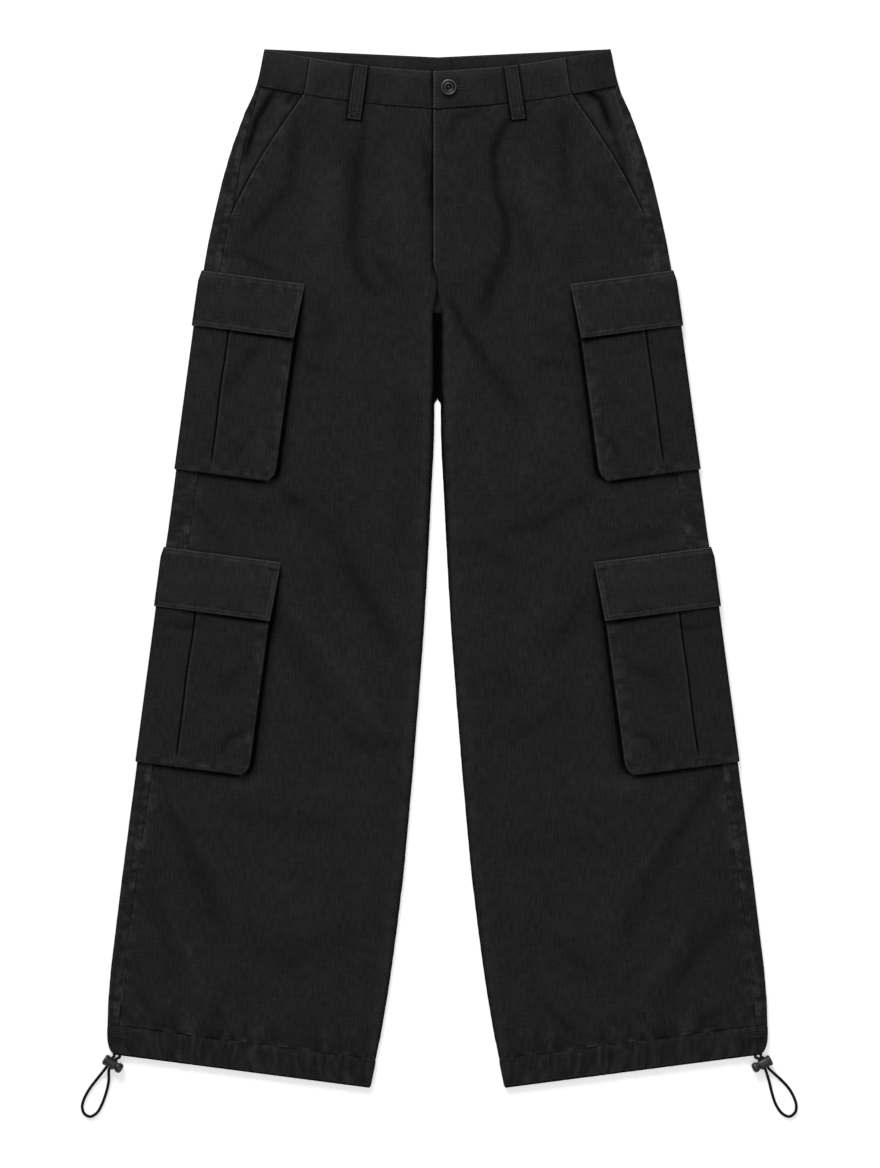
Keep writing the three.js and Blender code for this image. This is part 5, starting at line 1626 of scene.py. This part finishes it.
def cutSlot(name, mesh, low, high, pose):
    piece = addObject(name, mesh)
    tool = bpy.data.meshes.new("slotTool")
    work = bmesh.new()
    bmesh.ops.create_cube(work, size=1)
    size = Vector((lock["barrel"] * 2, high - low, lock["slotHeight"])) * mm
    bmesh.ops.scale(work, vec=size, verts=work.verts)
    bmesh.ops.translate(work, vec=(0, (low + high) / 2 * mm, 0), verts=work.verts)
    bmesh.ops.bevel(work, geom=work.edges[:], offset=lock["slotRound"] * mm, segments=3, affect="EDGES",
                    profile=0.5)
    work.to_mesh(tool)
    work.free()
    cutter = addObject("slotTool", tool)
    cut = piece.modifiers.new("slot", "BOOLEAN")
    cut.operation = "DIFFERENCE"
    cut.solver = "EXACT"
    cut.object = cutter
    bpy.context.view_layer.update()
    done = bpy.data.meshes.new_from_object(piece.evaluated_get(bpy.context.evaluated_depsgraph_get()))
    piece.modifiers.clear()
    bpy.data.objects.remove(cutter)
    done.transform(pose)
    piece.data = done
    return piece


def sharpSmooth(piece):
    mesh = piece.data
    work = bmesh.new()
    work.from_mesh(mesh)
    for edge in work.edges:
        edge.smooth = edge.calc_face_angle(0) < math.radians(lock["sharpAngle"])
    work.to_mesh(mesh)
    work.free()


def makeLocks():
    outer, bore = lock["barrel"] / 2, lock["bore"] / 2
    stem, head = lock["stem"] / 2, lock["head"] / 2
    barrel = [
        (0, barrelBack + 0.25), (2.2, barrelBack + 0.2), (2.7, barrelBack), (outer - 1.7, barrelBack),
        (outer - 1.0, barrelBack + 0.2), (outer - 0.45, barrelBack + 0.75), (outer - 0.1, barrelBack + 1.6),
        (outer, barrelBack + 2.2), (outer - 0.02, barrelBack + 3.0), (outer - 0.4, barrelBack + 3.5),
        (outer - 0.45, barrelBack + 4.2), (outer - 0.45, barrelFront - 2.4), (outer - 0.4, barrelFront - 1.8),
        (outer - 0.05, barrelFront - 1.4), (outer, barrelFront - 0.8), (outer - 0.1, barrelFront - 0.35),
        (outer - 0.5, barrelFront), (bore + 0.25, barrelFront), (bore, barrelFront - 0.25), (bore, boreBack),
        (0, boreBack),
    ]
    plunger = [
        (0, plungerBack), (stem - 0.3, plungerBack), (stem, plungerBack + 0.3), (stem, headBack - 0.3),
        (stem + 0.2, headBack), (head - 0.5, headBack), (head - 0.1, headBack + 0.2), (head, headBack + 0.6),
        (head, headFront - 2.4), (head - 0.25, headFront - 1.6), (head - 0.9, headFront - 0.8),
        (head - 1.9, headFront - 0.25), (head - 3, headFront), (0.9, headFront - 0.1), (0, headFront - 0.15),
    ]
    slotHalf = strandHalf + lock["slotSpare"]
    plungerSlotEnd = strandMiddle + strandHalf + lock["travel"] + cloth["gap"] / 2
    for name in sides:
        axis, along, middle = lockAxes(name)
        up = np.cross(-along, axis)
        pose = Matrix.Identity(4)
        for i in range(3):
            pose[i][0], pose[i][1], pose[i][2], pose[i][3] = -along[i], axis[i], up[i], middle[i] * mm
        shapes = {
            "Barrel": (barrel, (strandMiddle - slotHalf, strandMiddle + slotHalf), garmentBody),
            "Plunger": (plunger, (plungerBack + lock["endWall"], plungerSlotEnd), f"plunger_{name}"),
        }
        for part, (profile, slot, body) in shapes.items():
            mesh = turnedMesh(f"lock{part}.{name}", profile, lock["segments"])
            piece = cutSlot(f"lock{part}.{name}", mesh, *slot, pose)
            finishPiece(piece, "plastic", body, [f"lock_{part.lower()}_{name}"])
            sharpSmooth(piece)
    print("cord locks made")


# Shank button: a rolled rim, a groove, a raised ring and a sunk rivet

button = {"x": 11.3, "height": 39, "radius": 8.15, "thickness": 3.2, "segments": 72}
buttonhole = {"x": 25.5, "height": 39.6, "halfLength": 7.2, "halfWidth": 1.5}


def makeButton():
    r, t = button["radius"], button["thickness"]
    profile = [
        (0, 0, 0), (r - 1.6, 0, 0), (r - 0.7, 0.25, 0), (r - 0.15, 0.9, 0), (r, 1.6, 0.1),
        (r - 0.15, 2.3, 0.4), (r - 0.5, 2.85, 0.8), (r - 1.1, t, 1), (r - 1.8, t - 0.05, 0.9),
        (r - 2.3, t - 0.4, 0.4), (r - 2.6, t - 1.0, 0), (r - 3.0, t - 1.3, 0), (r - 3.3, t - 1.25, 0.1),
        (r - 3.55, t - 0.9, 0.6), (r - 3.9, t - 0.7, 0.9), (r - 4.4, t - 0.68, 0.9), (r - 4.8, t - 0.9, 0.5),
        (r - 5.05, t - 1.5, 0), (r - 5.3, t - 2.0, 0), (1.5, t - 2.1, 0), (1.15, t - 1.9, 0),
        (0.7, t - 1.5, 0.3), (0, t - 1.4, 0.4),
    ]
    side, lead, down = placeOnFront(button["x"], button["height"])
    seat = skin(side, "front", lead, down, band["proud"] + cloth["gap"], isBand=True)
    mesh = turnedMesh("waistButton", profile, button["segments"])
    place = Matrix.Translation(Vector(seat.tolist()) * mm) @ Matrix.Rotation(math.pi / 2, 4, "X")
    mesh.transform(place)
    finishPiece(addObject("waistButton", mesh), "metal", nodes=["waist_button"])
    print("button made")


# Stitches. Each row is a line on a surface; Geometry Nodes lay threads along it.

stitch = {
    "row": {
        "pitch": 3.1, "length": 2.3, "thick": 0.5, "turn": 0.0, "jitter": 0.12, "rise": 0.12, "seed": 7,
    },
    "tack": {
        "pitch": 0.62, "length": 2.2, "thick": 0.45, "turn": math.pi / 2, "jitter": 0.1, "rise": 0.22,
        "seed": 8,
    },
}


def stitchTree():
    tree = bpy.data.node_groups.new("threadRow", "GeometryNodeTree")
    face = tree.interface
    face.new_socket("Geometry", in_out="INPUT", socket_type="NodeSocketGeometry")
    for name, kind in (("Pitch", "Float"), ("Stitch length", "Float"), ("Thread", "Float"), ("Turn", "Float"),
                       ("Jitter", "Float"), ("Seed", "Int"), ("Material", "Material")):
        face.new_socket(name, in_out="INPUT", socket_type=f"NodeSocket{kind}")
    face.new_socket("Geometry", in_out="OUTPUT", socket_type="NodeSocketGeometry")
    given = addNode(tree, "NodeGroupInput").outputs
    flatWays = addNode(tree, "GeometryNodeSetCurveNormal", {"Curve": given["Geometry"]}, mode="Z_UP")
    points = addNode(tree, "GeometryNodeCurveToPoints", {
        "Curve": flatWays.outputs[0], "Length": given["Pitch"]}, mode="LENGTH")
    wild = addNode(tree, "FunctionNodeRandomValue", {
        "Min": (-1, -1, -1), "Max": (1, 1, 1), "Seed": given["Seed"]}, data_type="FLOAT_VECTOR")
    skew = addNode(tree, "ShaderNodeVectorMath", {
        0: wild.outputs[0], 1: (0.0, 1.0, 0.0)}, operation="MULTIPLY")
    skewed = addNode(tree, "ShaderNodeVectorMath", {
        0: skew.outputs[0], "Scale": given["Jitter"]}, operation="SCALE")
    turn = addNode(tree, "ShaderNodeCombineXYZ", {"Y": given["Turn"]})
    both = addNode(tree, "ShaderNodeVectorMath", {0: skewed.outputs[0], 1: turn.outputs[0]}, operation="ADD")
    asTurn = addNode(tree, "FunctionNodeEulerToRotation", {0: both.outputs[0]})
    laidAlong = addNode(tree, "FunctionNodeRotateRotation", {
        "Rotation": points.outputs["Rotation"], "Rotate By": asTurn.outputs[0]}, rotation_space="LOCAL")
    bead = addNode(tree, "GeometryNodeMeshUVSphere", {"Segments": 6, "Rings": 5, "Radius": 0.5})
    size = addNode(tree, "ShaderNodeCombineXYZ", {
        "X": given["Thread"], "Y": given["Thread"], "Z": given["Stitch length"]})
    laid = addNode(tree, "GeometryNodeInstanceOnPoints", {
        "Points": points.outputs["Points"], "Instance": bead.outputs["Mesh"], "Rotation": laidAlong.outputs[0],
        "Scale": size.outputs[0]})
    real = addNode(tree, "GeometryNodeRealizeInstances", {"Geometry": laid.outputs[0]})
    done = addNode(tree, "GeometryNodeSetMaterial", {
        "Geometry": real.outputs[0], "Material": given["Material"]})
    addNode(tree, "NodeGroupOutput", {"Geometry": done.outputs[0]})
    return tree


def layThread(name, lines, tree, settings):
    curve = bpy.data.curves.new(name, "CURVE")
    curve.dimensions = "3D"
    for line in lines:
        spline = curve.splines.new("POLY")
        spline.points.add(len(line) - 1)
        spline.points.foreach_set("co", np.hstack([line * mm, np.ones((len(line), 1))]).ravel())
    holder = addObject(name + ".rows", curve)
    layer = holder.modifiers.new("threads", "NODES")
    layer.node_group = tree
    sockets = {item.name: item.identifier for item in tree.interface.items_tree if item.in_out == "INPUT"}
    for key, value in {**settings, "Material": materials["thread"]}.items():
        layer[sockets[key]] = value
    bpy.context.view_layer.update()
    made = bpy.data.meshes.new_from_object(holder.evaluated_get(bpy.context.evaluated_depsgraph_get()))
    bpy.data.objects.remove(holder)
    return made


stitchAreas = ("legs", "pockets", "waist")
threads = {(kind, area): [] for area in stitchAreas for kind in stitch}


def layRow(kind, area, surface, leads, downs):
    leads, downs = np.broadcast_arrays(np.asarray(leads, float), np.asarray(downs, float))
    threads[kind, area].append(surface(leads, downs, stitch[kind]["rise"]))


def every(start, end, step=4.0):
    return np.linspace(start, end, max(2, int(abs(end - start) / step) + 1))


def showingRuns(top, bottom):
    hidden = [(p["flapTop"] - 1, p["bottom"] + 1) for p in sidePockets.values()]
    runs, start = [], top
    for low, high in hidden:
        if low > start:
            runs.append((start, min(low, bottom)))
        start = max(start, high)
    if start < bottom:
        runs.append((start, bottom))
    return runs


def rowsOfLegs():
    for name, side in sides.items():
        surface, wrap = fronts[name], backs[name]
        slantDown = every(slant["topDown"] + 1, slant["bottomDown"] - 2)
        for inset in front["slantStitch"]:
            layRow("row", "legs", surface, leadOf(frontStart(slantDown)) + inset, slantDown)
        for top, bottom in showingRuns(band["depth"] + 2, hem["top"] - 1):
            down = every(top, bottom)
            down = down[outseam(down) > back["stitchFrom"]]
            for inset in back["stitch"]:
                layRow("row", "legs", wrap, leadOf(backStrip(down)) - inset, down)
        legDown = every(band["depth"] + 200, hem["top"] - 1)
        legDown = legDown[rowHeight("front", legDown, innerReach("front", legDown)) > crotch["groove"] + 6]
        for inset in front["inseamStitch"]:
            layRow("row", "legs", surface, frontEnd(side, legDown) - inset, legDown)
        low = slant["bottomDown"]
        layRow("tack", "legs", surface, leadOf(frontStart(low)) + every(0.8, 8.6), low + 1.5)
        top = slant["topDown"] + 3
        layRow("tack", "legs", surface, leadOf(frontStart(top)) + every(1, 8), top + 0.5)
    surface = fronts["right"]
    flyDown = every(band["depth"] + 1.5, fly["underGone"] - 4)
    layRow("row", "legs", surface, frontEnd(1, flyDown) - 2.0, flyDown)
    # The two curved rows of the fly, as distances right of the centre line and below the waist corner
    for inset in (0, 5.5):
        place = [
            (42.5 - inset, 60), (42.5 - inset, 120), (42 - inset, 160), (39 - inset, 184),
            (31 - inset * 0.8, 199), (20 - inset * 0.5, 207 - inset * 0.6), (10, 210 - inset),
        ]
        line, _ = smoothRoute([(x, height, 0) for x, height in place], 60)
        _, lead, down = placeOnFront(line[:, 0], line[:, 1])
        layRow("row", "legs", surface, lead, down)
    for x, height, wide in ((-2, 207.5, 7), (13, 233, 9)):
        _, lead, down = placeOnFront(np.linspace(x, x + wide, 4), np.full(4, height))
        layRow("tack", "legs", surface, lead, down)


def rowsOfWaist():
    for name, side in sides.items():
        surface = bandSurfaces[name]
        past = band["overlap"] if side > 0 else band["underlap"]
        for down in (bandLook["stitchIn"], band["depth"] - bandLook["stitchIn"]):
            start, end = leadOf(joinInward(down)) + 1.5, leadOf(sideHalf(down)) + past - 2
            layRow("row", "waist", surface, every(float(start), float(end)), down)
        down = every(2, band["depth"] - 2)
        layRow("row", "waist", surface, leadOf(sideHalf(down)) + past - 2.2, down)
        place = loopPlace(name, side)
        _, _, topHeight, bottomHeight = loops["front"][name]
        tall = bottomHeight - topHeight
        for across in (-loops["stitchAcross"], loops["stitchAcross"]):
            along = every(1.5, tall - 1.5)
            line = place(np.full(along.shape, across), along, "outer")
            threads["row", "waist"].append(line + [0, 0, stitch["row"]["rise"]])
        for along in (loops["topTack"], tall - loops["bottomTack"]):
            across = every(-5.6, 5.6)
            line = place(across, np.full(across.shape, along), "outer")
            threads["tack", "waist"].append(line + [0, 0, loops["tackRise"]])
    # One row inside the back of the band
    lead = every(-100, 100)
    inside = -band["wall"] - stitch["row"]["rise"]
    threads["row", "waist"].append(backBandSurface(lead, np.full(lead.shape, bandLook["stitchIn"]), inside))
    around = np.linspace(0, 2 * math.pi, 40)
    _, lead, down = placeOnFront(buttonhole["x"] + buttonhole["halfLength"] * np.cos(around),
                                 buttonhole["height"] + buttonhole["halfWidth"] * np.sin(around))
    layRow("tack", "waist", bandSurfaces["right"], lead, down)


def rowsOfPockets():
    for (level, name), place in pocketPlaces.items():
        pocket = sidePockets[level]

        def surface(lead, down, rise, place=place):
            return place(lead, down, "outer") + [0, 0, rise]
        for inset in pocketLook["stitch"]:
            down = every(pocket["flapTop"] + pocketInset + 4, pocket["bottom"] - pocketCut["down"])
            side = leadOf(pocketEdge(pocket, down)) - inset
            turn = np.linspace(0, math.pi / 2, 10)[1:-1]
            turnDown = pocket["bottom"] - pocketCut["down"] + (pocketCut["down"] - inset) * np.sin(turn)
            turnLead = side[-1] - (pocketCut["inward"] - 2) * (1 - np.cos(turn)) - 0.5
            low = np.linspace(turnLead[-1] - 3, 4, 30)
            lead = np.concatenate([side, turnLead, low])
            downs = np.concatenate([down, turnDown, np.full(low.shape, pocket["bottom"] - inset)])
            layRow("row", "pockets", surface, lead, downs)
        pleat = float(leadOf(pocket["pleat"]))
        down = every(pocket["flapTop"] + 30, pocket["bottom"] - 3)
        layRow("row", "pockets", surface, pleat + pocketLook["pleatStitch"], down)
        low = pocket["bottom"] - pocketLook["pleatTack"]
        layRow("tack", "pockets", surface, every(pleat - 3.5, pleat + 3.5), low)
    for (level, name), surface in flapSurfaces.items():
        pocket = sidePockets[level]
        corner = float(leadOf(flapEdgeAt(pocket, pocket["flapTop"])))
        for inset, topInset in flapLook["stitch"]:
            down = every(pocket["flapTop"] + inset, pocket["flapBottom"] - inset)
            end = leadOf(flapEdgeAt(pocket, down)) - inset
            low = every(float(end[-1]), 3)
            lead = np.concatenate([end, low[1:]])
            downs = np.concatenate([down, np.full(len(low) - 1, pocket["flapBottom"] - inset)])
            layRow("row", "pockets", surface, lead, downs)
            layRow("row", "pockets", surface, every(3, corner - 2), pocket["flapTop"] + topInset)
        outer, inner = (corner - d for d in flapLook["tackLength"])
        for down in flapLook["tackRows"]:
            layRow("tack", "pockets", surface, every(inner, outer), pocket["flapTop"] + down)
        across = np.linspace(*flapLook["tackRows"], 3) + pocket["flapTop"]
        layRow("tack", "pockets", surface, np.full(3, inner), across)


def rowsOfHems():
    for name, side in sides.items():
        surface = hemSurfaces[name]
        for down in (hem["top"] + hemLook["stitchTop"], hem["bottom"] - hemLook["stitchBottom"]):
            layRow("row", "legs", surface, every(-1, float(leadOf(hemCentre(down))) + 3, 3), down)
        start, end, tall = hemLook["patch"]
        for down in np.arange(2, tall, hemLook["patchPitch"]):
            layRow("tack", "legs", surface, every(start, end), hem["top"] + down)


def makeStitches():
    rowsOfLegs()
    rowsOfWaist()
    rowsOfPockets()
    rowsOfHems()
    tree = stitchTree()
    for area in stitchAreas:
        work = bmesh.new()
        for kind, look in stitch.items():
            work.from_mesh(layThread(f"{kind}.{area}", threads[kind, area], tree, {
                "Pitch": look["pitch"] * mm, "Stitch length": look["length"] * mm, "Thread": look["thick"] * mm,
                "Turn": look["turn"], "Jitter": look["jitter"], "Seed": look["seed"]}))
        mesh = bpy.data.meshes.new(f"stitching.{area}")
        work.to_mesh(mesh)
        work.free()
        piece = addObject(f"stitching.{area}", mesh)
        finishPiece(piece, "thread")
        print(f"  {piece.name}: {len(mesh.polygons)} faces")
    print("stitches made")


makeLocks()
makeButton()
makeCords()
makeStitches()
